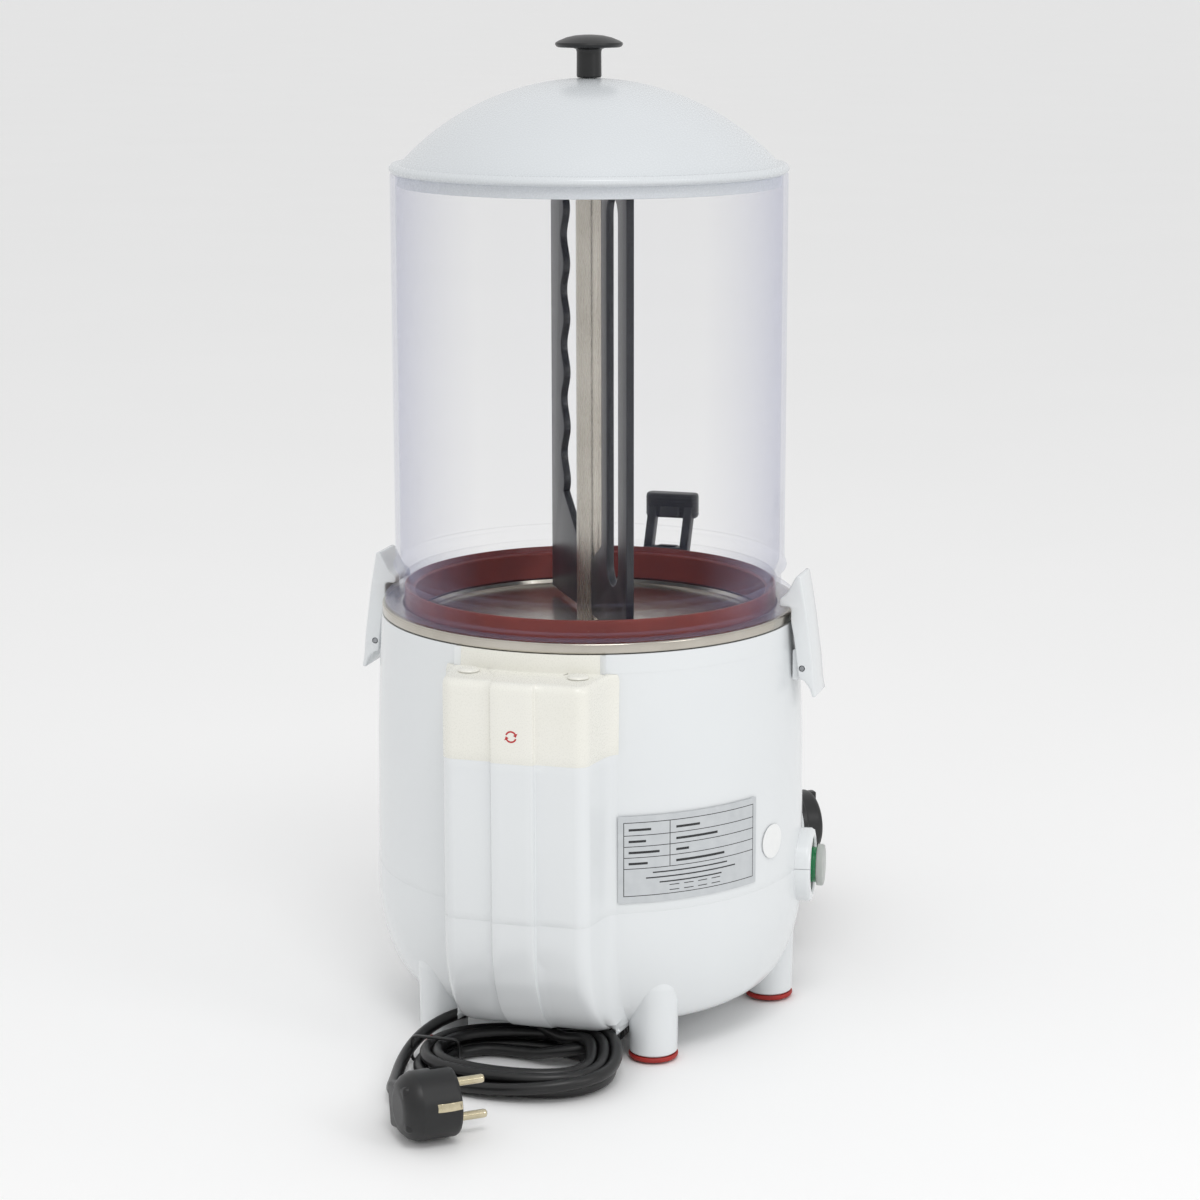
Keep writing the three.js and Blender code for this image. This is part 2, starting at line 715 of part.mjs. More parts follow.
const elementEnds = [-1, 1].map((sign) => [
  sign * elementRadius * Math.sin(radians(elementOpening)),
  elementRadius * Math.cos(radians(elementOpening)),
]);
const column = ring(columnBore, columnRadius, jacketFloor + steel + gap, columnTop);
machine.add(
  piece("centre_column", column, brushedSteel),
  piece("drive_shaft", rod(shaftRadius, gearboxTop - 14, paddleTop - gap, coarse), zincSteel),
);

function waterJacket() {
  const outline = [
    [shaftRadius + 1, jacketFloor], [jacketRadius, jacketFloor], [jacketRadius, jacketTop],
    [jacketRadius - steel, jacketTop],
    [jacketRadius - steel, jacketFloor + steel], [shaftRadius + 1, jacketFloor + steel],
  ];
  const holes = elementEnds.map(([x, y]) => {
    return rod(elementTube + gap, jacketFloor - 3, jacketFloor + 4, coarse).translate(x, y, 0);
  });
  return cut(turned(outline), ...holes);
}

// A ring element in the water, with two legs down through the jacket.
function heatingElement() {
  const height = jacketFloor + 12;
  const steps = 32;
  const arc = Array.from({ length: steps + 1 }, (_, i) => {
    const turn = radians(90 + elementOpening + ((360 - 2 * elementOpening) * i) / steps);
    return new THREE.Vector3(elementRadius * Math.cos(turn), elementRadius * Math.sin(turn), height);
  });
  const leg = rod(elementTube, jacketFloor - 6, height, coarse);
  const legs = elementEnds.map(([x, y]) => leg.clone().translate(x, y, 0));
  return joined(tube(new THREE.CatmullRomCurve3(arc), elementTube, steps, 4), ...legs);
}
machine.add(
  piece("water_jacket", waterJacket(), brushedSteel),
  piece("heating_element", heatingElement(), zincSteel),
);

function gearMotor() {
  const half = gearboxWidth / 2;
  return cut(
    joined(
      block([-half, half], [-half, half], [gearboxTop - gearboxHeight, gearboxTop]),
      rod(motorRadius, gearboxTop - gearboxHeight - motorLength, gearboxTop - gearboxHeight + 1),
    ),
    rod(shaftRadius + gap, gearboxTop - 15, gearboxTop + 1, coarse),
  );
}

// The chassis plate rests on the tub's four bosses, and its welded bridge carries the gear motor.
function chassis() {
  const hole = rod(2.5, chassisHeight - 1, chassisHeight + 4, coarse);
  const holes = bossPlaces.map(([x, y]) => hole.clone().translate(x, y, 0));
  const deck = gearboxTop - gearboxHeight - gap;
  const foot = chassisHeight + chassisThickness / 2;
  const half = motorRadius + 9;
  const bridge = path2([
    [-half, foot], [-half + 2, foot], [-half + 2, deck - 2], [half - 2, deck - 2],
    [half - 2, foot], [half, foot], [half, deck], [-half, deck],
  ]);
  return cut(
    joined(rod(chassisRadius, chassisHeight, chassisHeight + chassisThickness, 32), slabXZ(bridge, 50)),
    rod(motorRadius + 1, chassisHeight - tiny, deck + tiny),
    ...holes,
  );
}
machine.add(
  piece("gear_motor", gearMotor(), zincSteel),
  piece("chassis", chassis(), zincSteel),
);

// ---------------------------------------------------------------- latches
// One latch, drawn on the right side: outline of [distance from the axis, height].
function latch() {
  const flangeTop = bowlFoot + flangeThickness;
  const hook = [[-3.5, 0.4], [-3.5, 4.5], [1, 8], [4, 14], [6.5, 18.8]];
  const back = [[-1.5, 54.5], [2.4, 32], [6.1, 4.5], [7.3, -9.5], [8.6, -16.5]];
  const toe = [[6.3, -17], [4.7, -11.5], [1, -7]];
  const inside = [[-2, -6.5], [-5.1, 18.5], [-7, 27]];
  const fromFlange = ([x, z]) => [flangeRadius + x, flangeTop + z];
  const fromPivot = ([x, z]) => [pivotReach + x, pivotHeight + z];
  const side = path2([
    ...hook.map(fromFlange),
    ...back.map(fromPivot),
    ...toe.map(fromPivot),
    ...inside.map(fromPivot),
    fromFlange([3.5, 0.4]),
  ]);
  const pocket = path2(
    [[-12.5, -18], [5.5, -18], [5, -8.5], [3.9, 4.5], [0.1, 29.5], [-12.5, 29.5]].map(fromPivot),
  );
  return cut(
    slabXZ(side, latchWidth),
    slabXZ(pocket, latchWidth - 5),
    rodY(latchPinRadius + gap, -latchWidth, latchWidth, 12).translate(pivotReach, 0, pivotHeight),
  );
}

function latchBracket() {
  const root = bodyRadius - 1.9;
  const nose = pivotReach + 2.2;
  const base = path2([
    [root, pivotHeight - 8], [root, pivotHeight + 10.5], [root + 3.2, pivotHeight + 10.5],
    [nose, pivotHeight + 2.6], [nose, pivotHeight - 2.6], [root + 3.2, pivotHeight - 8],
  ]);
  const knuckle = rodY(latchPinRadius + 1.8, -bracketWidth / 2, bracketWidth / 2, 20);
  return cut(
    joined(slabXZ(base, bracketWidth), knuckle.translate(pivotReach, 0, pivotHeight)),
    rodY(latchPinRadius + gap, -latchWidth, latchWidth, 12).translate(pivotReach, 0, pivotHeight),
  );
}

["right", "left"].forEach((side, i) => {
  const place = new THREE.Group();
  place.rotation.z = i * Math.PI;
  const pin = rodY(latchPinRadius, -latchWidth / 2, latchWidth / 2, coarse)
    .translate(pivotReach, 0, pivotHeight);
  place.add(
    piece(`latch_${side}`, latch(), whitePlastic),
    piece(`latch_bracket_${side}`, latchBracket(), whitePlastic),
    piece(`latch_pin_${side}`, pin, zincSteel),
  );
  machine.add(place);
});

// ---------------------------------------------------------------- tap
// Drawn about the tap's upright axis.
const shoulderReach = tapReach - bodyRadius - 2; // tap axis to the back of its shoulder
const inletLength = 20; // threaded inlet behind the shoulder
function tapBody() {
  return cut(
    joined(
      rod(tapRadius, tapFoot, tapTop),
      turned([
        [0, spoutFoot], [spoutRadius - 1, spoutFoot], [spoutRadius, tapFoot], [tapRadius - 2, tapFoot + 2],
        [0, tapFoot + 2],
      ], medium),
      rodY(inletRadius, 0, shoulderReach + inletLength).translate(0, 0, inletHeight),
      rodY(tapRadius, shoulderReach - 4, shoulderReach).translate(0, 0, inletHeight),
    ),
    rod(tapBore, tapFoot + 6, tapTop + 1, 24),
    rod(spoutBore, spoutFoot - 1, tapFoot + 8, 20),
    rodY(inletBore, 0, shoulderReach + inletLength + 1, 20).translate(0, 0, inletHeight),
  );
}

// The cap closes the bore and carries the lever's two ears.
function tapCap() {
  const foot = tapTop + gap;
  const pivot = [-pivotForward, handlePivotHeight];
  const ear = new THREE.Shape();
  ear.moveTo(6, foot + 4);
  ear.lineTo(pivot[0] - 5, foot + 4);
  ear.absarc(pivot[0], pivot[1], 5, Math.PI, 0, true);
  const ears = [-1, 1].map((sign) => slabYZ(ear, earOuter - earInner, 5)
    .translate((sign * (earOuter + earInner)) / 2, 0, 0));
  return cut(
    joined(rod(tapRadius, foot, foot + 5), ...ears),
    rod(stemRadius + 0.4, foot - 1, foot + 8, coarse),
    rodX(tapPinRadius + gap, -20, 20, coarse).translate(0, pivot[0], pivot[1]),
  );
}

const seat = tapFoot + 6 + gap;
const plungerHead = handlePivotHeight - 3;
function tapPlunger() {
  return turned([
    [0, seat], [tapBore - 2, seat], [tapBore - 1, seat + 1.5], [tapBore - 1, seat + 5],
    [stemRadius, seat + 5],
    [stemRadius, plungerHead - 3], [stemHeadRadius, plungerHead - 3], [stemHeadRadius, plungerHead],
    [0, plungerHead],
  ], 20);
}

function tapSpring() {
  const turns = 4.5;
  const radius = (stemRadius + tapBore) / 2;
  const low = seat + 5 + gap + 1;
  const high = tapTop - 1.2;
  class Helix extends THREE.Curve {
    getPoint(t, target = new THREE.Vector3()) {
      const turn = 2 * Math.PI * turns * t;
      return target.set(radius * Math.cos(turn), radius * Math.sin(turn), low + (high - low) * t);
    }
  }
  return tube(new Helix(), 0.9, 48, 3);
}

// The lever: a fork that straddles the plunger's head, two legs up to a ribbed grip.
function tapHandle() {
  const pivot = [-pivotForward, handlePivotHeight];
  const gripY = -gripForward;
  const fork = path2([
    [3.5, pivot[1] - 8.9], [3.5, pivot[1] - 6.5], [-5, pivot[1] - 6.5], [pivot[0] + 4.5, pivot[1] + 3],
    [gripY + 6.5, gripHeight - 6], [gripY - 1.5, gripHeight - 8], [pivot[0] - 5, pivot[1] + 2],
    [pivot[0] - 4, pivot[1] - 5], [-5.5, pivot[1] - 8.9],
  ]);
  const slotLow = pivot[1] + 12;
  const slotHigh = gripHeight - 12;
  const legGap = block([-earInner - 3, earInner + 3], [-60, 20], [slotLow, slotHigh]);
  const gripOutline = roundedRectangle(-gripWidth / 2, gripWidth / 2, gripY - 6, gripY + 5, 4.5);
  const grip = raised(gripOutline, gripHeight - 14, gripHeight + 2, 4);
  const lever = slabYZ(fork, 2 * (earInner - gap));
  const legs = [-1, 1].map((sign) => slabYZ(path2([
    [pivot[0] + 3, pivot[1] + 7.5], [gripY + 5, gripHeight - 6], [gripY - 3, gripHeight - 8],
    [pivot[0] - 5.5, pivot[1] + 7.5],
  ]), 5.6).translate(sign * 12, 0, 0));
  const bar = block([-14, 14], [pivot[0] - 6.5, pivot[0] + 2], [pivot[1] + 7, pivot[1] + 12]);
  return cut(
    joined(grip, lever, ...legs, bar),
    legGap,
    rodX(tapPinRadius + gap, -20, 20, coarse).translate(0, pivot[0], pivot[1]),
    block([-stemRadius - 0.7, stemRadius + 0.7], [-stemRadius - 4, 8], [pivot[1] - 12, pivot[1] - 2]),
  );
}

const tap = new THREE.Group();
tap.position.y = -tapReach;
const tapPin = rodX(tapPinRadius, -earOuter - 1, earOuter + 1, coarse)
  .translate(0, -pivotForward, handlePivotHeight);
const tapGasket = ringY(inletRadius + gap, tapRadius, shoulderReach + gap, shoulderReach + 2.2);
const tapNut = cut(
  rodY(inletRadius + 6, shoulderReach + 8.8, shoulderReach + 15, 6),
  rodY(inletRadius + gap, shoulderReach + 7, shoulderReach + 16, 24),
);
tap.add(
  piece("tap_body", tapBody(), blackPlastic),
  piece("tap_cap", tapCap(), blackPlastic),
  piece("tap_plunger", tapPlunger(), brownSilicone),
  piece("tap_spring", tapSpring(), zincSteel),
  piece("tap_handle", tapHandle(), blackPlastic),
  piece("tap_pin", tapPin, zincSteel),
  piece("tap_gasket", tapGasket.translate(0, 0, inletHeight), brownSilicone),
  piece("tap_nut", tapNut.translate(0, 0, inletHeight), zincSteel),
);
machine.add(tap);

// Drain elbow from the tank floor to the tap's inlet.
function drainElbow() {
  const bend = 14;
  const inletEnd = tapReach - shoulderReach - inletLength - gap;
  const route = new THREE.CurvePath();
  const point = (y, z) => new THREE.Vector3(0, y, z);
  const centre = [-drainReach - bend, inletHeight + bend];
  class Bend extends THREE.Curve {
    getPoint(t, target = new THREE.Vector3()) {
      const turn = (t * Math.PI) / 2;
      return target.set(0, centre[0] + bend * Math.cos(turn), centre[1] - bend * Math.sin(turn));
    }
  }
  route.add(new THREE.LineCurve3(point(-drainReach, tankFloor - 0.2), point(-drainReach, centre[1])));
  route.add(new Bend());
  route.add(new THREE.LineCurve3(point(centre[0], inletHeight), point(-inletEnd, inletHeight)));
  return tube(route, drainRadius, 14, 5, drainRadius - 2.4);
}
machine.add(piece("drain_elbow", drainElbow(), greyRubber));

// ---------------------------------------------------------------- drip tray
// D-shaped outline whose back follows the round body.
function trayOutline(inset) {
  const half = trayWidth / 2 - inset;
  const back = bodyRadius + 1.2 + inset;
  const front = trayReach - inset;
  const corner = trayCorner - inset;
  const start = Math.asin(half / back);
  const outline = new THREE.Shape();
  outline.absarc(0, 0, back, -Math.PI / 2 + start, -Math.PI / 2 - start, true);
  outline.lineTo(-half, -front + corner);
  outline.absarc(-half + corner, -front + corner, corner, Math.PI, 1.5 * Math.PI);
  outline.absarc(half - corner, -front + corner, corner, -Math.PI / 2, 0);
  return outline;
}
const trayTop = trayFoot + trayHeight;
const grilleFoot = trayTop - ledgeDepth + gap;
function dripTray() {
  return cut(
    raised(trayOutline(0), trayFoot, trayTop, 10),
    raised(trayOutline(2 * trayWall), trayFoot + trayWall, trayTop + 1, 10),
    raised(trayOutline(trayWall), trayTop - ledgeDepth, trayTop + 1, 10),
  );
}
function dripGrille() {
  const first = -trayReach + 2 * slotPitch;
  const half = trayWidth / 2 - 17;
  const slots = Array.from({ length: 9 }, (_, i) => {
    const y = first + i * slotPitch;
    return block([-half, half], [y - slotWidth / 2, y + slotWidth / 2], [grilleFoot - 1, grilleFoot + 4]);
  });
  return cut(raised(trayOutline(trayWall + gap), grilleFoot, grilleFoot + grilleThickness, 10), ...slots);
}
machine.add(
  piece("drip_tray", dripTray(), blackPlastic),
  piece("drip_grille", dripGrille(), brushedSteel),
);

// ---------------------------------------------------------------- switch and thermostat on the left side
// Drawn with +X pointing outwards from the bowl's axis.
const switchPlace = new THREE.Group();
switchPlace.rotation.z = Math.PI + radians(switchAngle);
switchPlace.position.z = switchHeight;
const buttonBore = buttonRadius + gap;
const buttonFoot = switchReach - 10;
const buttonTop = switchReach + buttonLength;
switchPlace.add(
  piece("switch_body", cut(
    rodX(switchRadius, switchReach - switchDepth, switchReach),
    rodX(buttonBore, buttonFoot - buttonTravel - 1, switchReach + 1),
  ), blackPlastic),
  piece("switch_button", rodX(buttonRadius, buttonFoot, buttonTop), greenPlastic),
  piece("switch_cap", cut(
    rodX(buttonRadius + buttonCapWall, buttonTop - 1.2, buttonTop + buttonCapHeight),
    rodX(buttonRadius + gap, buttonTop - 2, buttonTop + gap),
  ), frostedSilicone),
);

const dialPlace = new THREE.Group();
dialPlace.rotation.z = Math.PI + radians(dialAngle);
dialPlace.position.z = dialHeight;
function thermostatKnob() {
  const foot = discReach + gap;
  const pointer = block(
    [foot + dialLength - 5, foot + dialLength + 2.6],
    [-3, 3],
    [-dialRadius + 2, dialRadius - 2],
  );
  return cut(
    joined(
      turned([
        [0, foot], [dialRadius, foot], [dialRadius, foot + 3], [dialRadius - 1.6, foot + dialLength - 1.5],
        [dialRadius - 3, foot + dialLength], [0, foot + dialLength],
      ]).rotateY(Math.PI / 2),
      pointer,
    ),
    rodX(dialStemRadius + gap, foot - 1, foot + 9, coarse),
  );
}
dialPlace.add(
  piece("thermostat", joined(
    block([discReach - 26, discReach - 10], [-18, 18], [-17, 17]),
    rodX(dialStemRadius, discReach - 12, discReach + 8, coarse),
  ), zincSteel),
  piece("thermostat_knob", thermostatKnob(), blackPlastic),
);
machine.add(switchPlace, dialPlace);

// ---------------------------------------------------------------- labels
// Both go round the body from the housing's flare, as angles from +X.
const labelStart = Math.PI / 2 + Math.asin((boxHalfWidth + boxFlare + labelMargin) / bodyRadius);
const labelEnd = labelStart + labelWidth / bodyRadius;
const stickerTurn = labelEnd + (stickerMargin + stickerRadius) / bodyRadius;
function ratingLabel() {
  const band = new THREE.Shape();
  band.absarc(0, 0, bodyRadius + gap + film, labelStart, labelEnd);
  band.absarc(0, 0, bodyRadius + gap, labelEnd, labelStart, true);
  return raised(band, labelFoot, labelFoot + labelHeight, 14);
}
const sticker = rodX(stickerRadius, bodyRadius + gap, bodyRadius + gap + film)
  .rotateZ(stickerTurn)
  .translate(0, 0, stickerHeight);
machine.add(
  piece("rating_label", ratingLabel(), labelFilm),
  piece("round_sticker", sticker, whitePaper),
);

// ---------------------------------------------------------------- origin
// The origin is on the standing surface, under the middle of the machine without its lead.
const middle = new THREE.Box3().setFromObject(machine, true).getCenter(new THREE.Vector3());
machine.position.set(-middle.x, -middle.y, 0);

// ---------------------------------------------------------------- mains cord
// The clamp under the tub ends in a tapered strain relief; the lead lies behind in a bundle of oval turns.
function cordClamp() {
  const [x, y, z] = exitPoint;
  const relief = turned([
    [0, -2], [bootRadius, -2], [bootRadius, 4], [cordRadius + 1, bootLength], [0, bootLength],
  ], coarse);
  return joined(
    block([x - 8, x + 12], [y - 16, y], [bootRadius - 2, tubFloor - gap]),
    relief.rotateX(-Math.PI / 2).translate(x, y, z),
  );
}

const cordRoute = [
  [-41, 88.4, 10.5],
  [-41.2, 94, 10.5],
  [-41.5, 98.6, 10.5],
];
const leadRoute = [
  [54.2, 200.2, 7.6],
  [57.4, 194, 6],
  [59.4, 186, 4.6],
  [59.9, 177, 3.9],
  [59.4, 169, 3.8],
  [58.2, 161.4, 3.8],
];
const routeTube = (route, steps) => tube(
  new THREE.CatmullRomCurve3(route.map((point) => new THREE.Vector3(...point))),
  cordRadius,
  steps,
  5,
);

function cordCoil() {
  const outer = new THREE.Shape().absellipse(...coilCentre, coilHalfLength, coilHalfWidth, 0, 2 * Math.PI);
  outer.holes.push(new THREE.Path()
    .absellipse(...coilCentre, coilHalfLength - coilBand, coilHalfWidth - coilBand, 0, 2 * Math.PI, true));
  return raised(outer, coilFoot, coilHeight, 12);
}

// A strap over the bundle at its right-hand end.
function cordTie() {
  const [x, y] = coilCentre;
  const outerEdge = x + coilHalfLength;
  const innerEdge = outerEdge - coilBand;
  const strap = 1.2;
  return cut(
    block(
      [innerEdge - gap - strap, outerEdge + gap + strap],
      [y - 1.3, y + 1.3],
      [coilFoot, coilHeight + gap + strap],
    ),
    block([innerEdge - gap, outerEdge + gap], [y - 3, y + 3], [-1, coilHeight + gap]),
  );
}
machine.add(
  piece("cord_clamp", cordClamp(), blackPlastic),
  piece("mains_cord", routeTube(cordRoute, 3), blackRubber),
  piece("cord_coil", cordCoil(), blackRubber),
  piece("cord_tie", cordTie(), blackRubber),
  piece("plug_lead", routeTube(leadRoute, 6), blackRubber),
);

// The plug, drawn with its pins along +X and its neck along +Y.
function plugBody() {
  const side = path2([
    [plugBack + 3, 4], [plugBack + 3, 16], [plugBack + 9, neckEnd], [plugBack + 25, neckEnd],
    [plugFace - 3, 16], [plugFace - 3, 4],
  ]);
  const relief = turned([
    [0, neckEnd - 3], [bootRadius + 0.2, neckEnd - 3], [cordRadius + 1, reliefEnd], [0, reliefEnd],
  ], coarse).rotateX(-Math.PI / 2).translate(plugBack + 17, 0, 0);
  const pinHoles = [-1, 1].map((sign) => rodX(pinRadius + gap, plugFace - 6, plugFace + 1, coarse)
    .translate(0, 0, (sign * pinSpacing) / 2));
  return cut(
    joined(
      turned([
        [0, plugBack], [plugRadius - 5, plugBack], [plugRadius, plugBack + 7], [plugRadius, plugFace],
        [0, plugFace],
      ]).rotateY(Math.PI / 2),
      raised(side, -9, 9),
      relief,
    ),
    ...pinHoles,
  );
}
function plugPin() {
  return turned([
    [0, plugFace - 5.5], [pinRadius, plugFace - 5.5], [pinRadius, plugFace + pinLength - 1.2],
    [pinRadius - 1, plugFace + pinLength], [0, plugFace + pinLength],
  ], coarse).rotateY(Math.PI / 2);
}
const plug = new THREE.Group();
plug.position.set(...plugCentre);
plug.rotation.set(-radians(plugRoll), 0, radians(plugTurn), "ZYX");
plug.add(piece("plug_body", plugBody(), blackRubber));
[-1, 1].forEach((sign, i) => {
  const pin = piece(`plug_pin_${i + 1}`, plugPin(), nickel);
  pin.position.z = (sign * pinSpacing) / 2;
  plug.add(pin);
});
machine.add(plug);

export default machine;
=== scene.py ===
# %% [markdown]
# # Hot drink dispenser with a stirrer
# A clear bowl stands on a heated steel tank in a round moulded body, with a lead bundled behind it.
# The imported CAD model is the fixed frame. This file gives every visible piece its fine shape and its
# finish, and each piece moves with the CAD body that it belongs to.

# %% Load the frame
import math

import bmesh
import bpy
from mathutils import Matrix, Vector


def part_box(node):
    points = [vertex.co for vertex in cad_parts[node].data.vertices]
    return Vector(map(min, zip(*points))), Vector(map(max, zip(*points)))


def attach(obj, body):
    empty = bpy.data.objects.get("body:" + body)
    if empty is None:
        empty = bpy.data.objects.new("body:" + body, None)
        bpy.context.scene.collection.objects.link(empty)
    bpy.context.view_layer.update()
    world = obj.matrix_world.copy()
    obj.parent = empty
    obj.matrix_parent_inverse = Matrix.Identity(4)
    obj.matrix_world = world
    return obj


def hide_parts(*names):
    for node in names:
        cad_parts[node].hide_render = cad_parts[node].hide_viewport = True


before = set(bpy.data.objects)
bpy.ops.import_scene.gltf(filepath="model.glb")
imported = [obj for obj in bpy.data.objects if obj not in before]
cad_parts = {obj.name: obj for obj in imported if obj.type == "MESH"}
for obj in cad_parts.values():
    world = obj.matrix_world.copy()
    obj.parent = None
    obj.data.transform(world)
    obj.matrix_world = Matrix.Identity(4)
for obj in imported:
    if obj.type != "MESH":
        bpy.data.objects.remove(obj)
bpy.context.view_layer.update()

print("nodes in the frame:", len(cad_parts))

# %% [markdown]
# ## Units and the bowl's axis
# The real machine is turned about one upright axis, so every shape is drawn in millimetres from that
# axis. One matrix then carries a drawing into the frame. The lid is round, so its box gives the axis.

# %% Units and axis
MM = 0.001
lid_low, lid_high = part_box("lid")
AXIS = (lid_low + lid_high) / 2
TO_FRAME = Matrix.Translation((AXIS.x, AXIS.y, 0)) @ Matrix.Scale(MM, 4)
CLEAR = 0.3  # gap between neighbouring pieces


def placed(name, data):
    """A new object in the scene."""
    thing = bpy.data.objects.new(name, data)
    bpy.context.scene.collection.objects.link(thing)
    return thing


def foot_of(node):
    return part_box(node)[0].z / MM


def top_of(node):
    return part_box(node)[1].z / MM


SEAM = 93.4  # the tub and the shell meet here
TUB_FLOOR = 18
SHELL_TOP = top_of("upper_shell")
RIM_TOP = top_of("inner_tank")
BOWL_FOOT = foot_of("bowl")
BOWL_TOP = top_of("bowl")
LID_SEAT = BOWL_TOP + CLEAR
LID_APEX = foot_of("lid_knob") - CLEAR
BODY_R = 128
TOP_R = 124
BOWL_R = 115.5
WALL = 2.6  # of the moulded body
print("axis at", tuple(round(v, 4) for v in AXIS[:2]), "bowl", BOWL_FOOT, "to", BOWL_TOP)

# %% [markdown]
# ## Camera
# The machine is seen from behind and a little above with a long lens, as a small studio shot is made.

# %% Camera
VIEW_TURN = 16.77  # degrees round the machine from straight behind
VIEW_AIM = 0.67  # degrees that the camera looks past the axis
VIEW_DOWN = 11.63  # degrees below level
VIEW_REACH = 1761.4
VIEW_HEIGHT = 627
camera_data = bpy.data.cameras.new("camera")
camera_data.lens = 90.6
camera_data.sensor_width = 36
camera_data.shift_x = -0.0207
camera_data.shift_y = -0.0228
camera = placed("camera", camera_data)
around_by = math.radians(VIEW_TURN)
camera.location = TO_FRAME @ Vector(
    (-VIEW_REACH * math.sin(around_by), VIEW_REACH * math.cos(around_by), VIEW_HEIGHT)
)
camera.rotation_euler = (math.radians(90 - VIEW_DOWN), 0, math.radians(180 + VIEW_TURN - VIEW_AIM))
bpy.context.scene.camera = camera
print("camera", [round(v, 3) for v in camera.location])

# %% [markdown]
# ## Mesh helpers
# Most pieces are turned, extruded or lofted. Each helper takes millimetres and makes one object.
# A bevel on the hard edges gives the small radius that a mould or a press leaves.


# %% Mesh helpers
def moved(x, y, z):
    return Matrix.Translation((x, y, z))


def spun(degrees, axis):
    return Matrix.Rotation(math.radians(degrees), 4, axis)


def oblong(x_low, x_high, y_low, y_high):
    """The corners of a rectangle."""
    return [(x_low, y_low), (x_high, y_low), (x_high, y_high), (x_low, y_high)]


def pin_outline(radius, half, broken=0.4):
    """A round pin, centred on z = 0, whose ends are slightly broken."""
    ends = [(radius - 0.3, -half), (radius, broken - half), (radius, half - broken), (radius - 0.3, half)]
    return [(0, -half)] + ends + [(0, half)]


def rod(name, radius, half, steps, place):
    """A plain round rod for cutting a hole, centred on z = 0."""
    outline = [(0, -half), (radius, -half), (radius, half), (0, half)]
    return turned(name, outline, steps, place, closed=False)


def made(name, points, faces, place=None):
    """One mesh object from points in millimetres and faces."""
    mesh = bpy.data.meshes.new(name)
    mesh.from_pydata([tuple(p) for p in points], [], faces)
    work = bmesh.new()
    work.from_mesh(mesh)
    bmesh.ops.remove_doubles(work, verts=work.verts, dist=1e-4)
    bmesh.ops.recalc_face_normals(work, faces=work.faces)
    work.to_mesh(mesh)
    work.free()
    if place:
        mesh.transform(place)
    return placed(name, mesh)


def supported(outline, closed, near=0.8, long=6):
    """Adds points near both ends of long stretches, so that smooth shading stays flat between them."""
    result = []
    for i, here in enumerate(outline):
        result.append(here)
        if i == len(outline) - 1 and not closed:
            break
        start, end = Vector(here), Vector(outline[(i + 1) % len(outline)])
        length = (end - start).length
        if length > long:
            result += [tuple(start.lerp(end, t)) for t in (near / length, 0.5, 1 - near / length)]
    return result


def turned(name, outline, steps=128, place=None, closed=True):
    """An outline of (radius, height) turned about +Z."""
    outline = supported(outline, closed)
    points = []
    for i in range(steps):
        turn = 2 * math.pi * i / steps
        points += [(r * math.cos(turn), r * math.sin(turn), z) for r, z in outline]
    count = len(outline)
    last = count if closed else count - 1
    faces = []
    for i in range(steps):
        here, there = i * count, (i + 1) % steps * count
        for j in range(last):
            k = (j + 1) % count
            faces.append((here + j, there + j, there + k, here + k))
    return made(name, points, faces, place)


def arc(cx, cy, radius, start, end, steps=6, squeeze=1.0):
    """Points on an arc, with angles in degrees."""
    turns = [math.radians(start + (end - start) * i / steps) for i in range(steps + 1)]
    return [(cx + radius * math.cos(t), cy + squeeze * radius * math.sin(t)) for t in turns]


def rounded(outline, radius, steps=4):
    """A closed outline with its corners rounded."""
    result = []
    count = len(outline)
    for i in range(count):
        before, here, after = (Vector(outline[(i + k) % count]) for k in (-1, 0, 1))
        reach = min(radius, (before - here).length * 0.45, (after - here).length * 0.45)
        start = here + (before - here).normalized() * reach
        end = here + (after - here).normalized() * reach
        for k in range(steps + 1):
            t = k / steps
            result.append(tuple(start * (1 - t) ** 2 + here * 2 * t * (1 - t) + end * t * t))
    return result


def plate(name, outlines, thickness, bevel=0.4, place=None):
    """A flat plate in XY, centred on z = 0. Outlines after the first one are holes."""
    curve = bpy.data.curves.new(name, "CURVE")
    curve.dimensions = "2D"
    curve.fill_mode = "BOTH"
    curve.extrude = thickness / 2 - bevel
    curve.bevel_depth = bevel
    curve.bevel_resolution = 2
    curve.offset = -bevel
    for outline in outlines:
        spline = curve.splines.new("POLY")
        spline.points.add(len(outline) - 1)
        spline.use_cyclic_u = True
        for point, (x, y) in zip(spline.points, outline):
            point.co = (x, y, 0, 1)
    drawn = bpy.data.objects.new(name, curve)
    mesh = bpy.data.meshes.new_from_object(drawn)
    points = [v.co[:] for v in mesh.vertices]
    faces = [tuple(p.vertices) for p in mesh.polygons]
    bpy.data.objects.remove(drawn)
    return made(name, points, faces, place)


def box(name, xs, ys, zs, place=None):
    """A block between two values on each axis."""
    points = [(x, y, z) for x in xs for y in ys for z in zs]
    faces = [(0, 1, 3, 2), (4, 6, 7, 5), (0, 4, 5, 1), (2, 3, 7, 6), (0, 2, 6, 4), (1, 5, 7, 3)]
    return made(name, points, faces, place)


def baked(thing, *modifiers):
    """Adds modifiers, given as (kind, settings), and keeps their result as the mesh."""
    for kind, settings in modifiers:
        modifier = thing.modifiers.new(kind.lower(), kind)
        for key, value in settings.items():
            setattr(modifier, key, value)
    graph = bpy.context.evaluated_depsgraph_get()
    mesh = bpy.data.meshes.new_from_object(thing.evaluated_get(graph))
    thing.modifiers.clear()
    thing.data = mesh
    return thing


def eased(thing, width, angle=30, segments=3):
    """Rounds the hard edges."""
    settings = {
        "width": width,
        "segments": segments,
        "limit_method": "ANGLE",
        "angle_limit": math.radians(angle),
    }
    return baked(thing, ("BEVEL", settings))


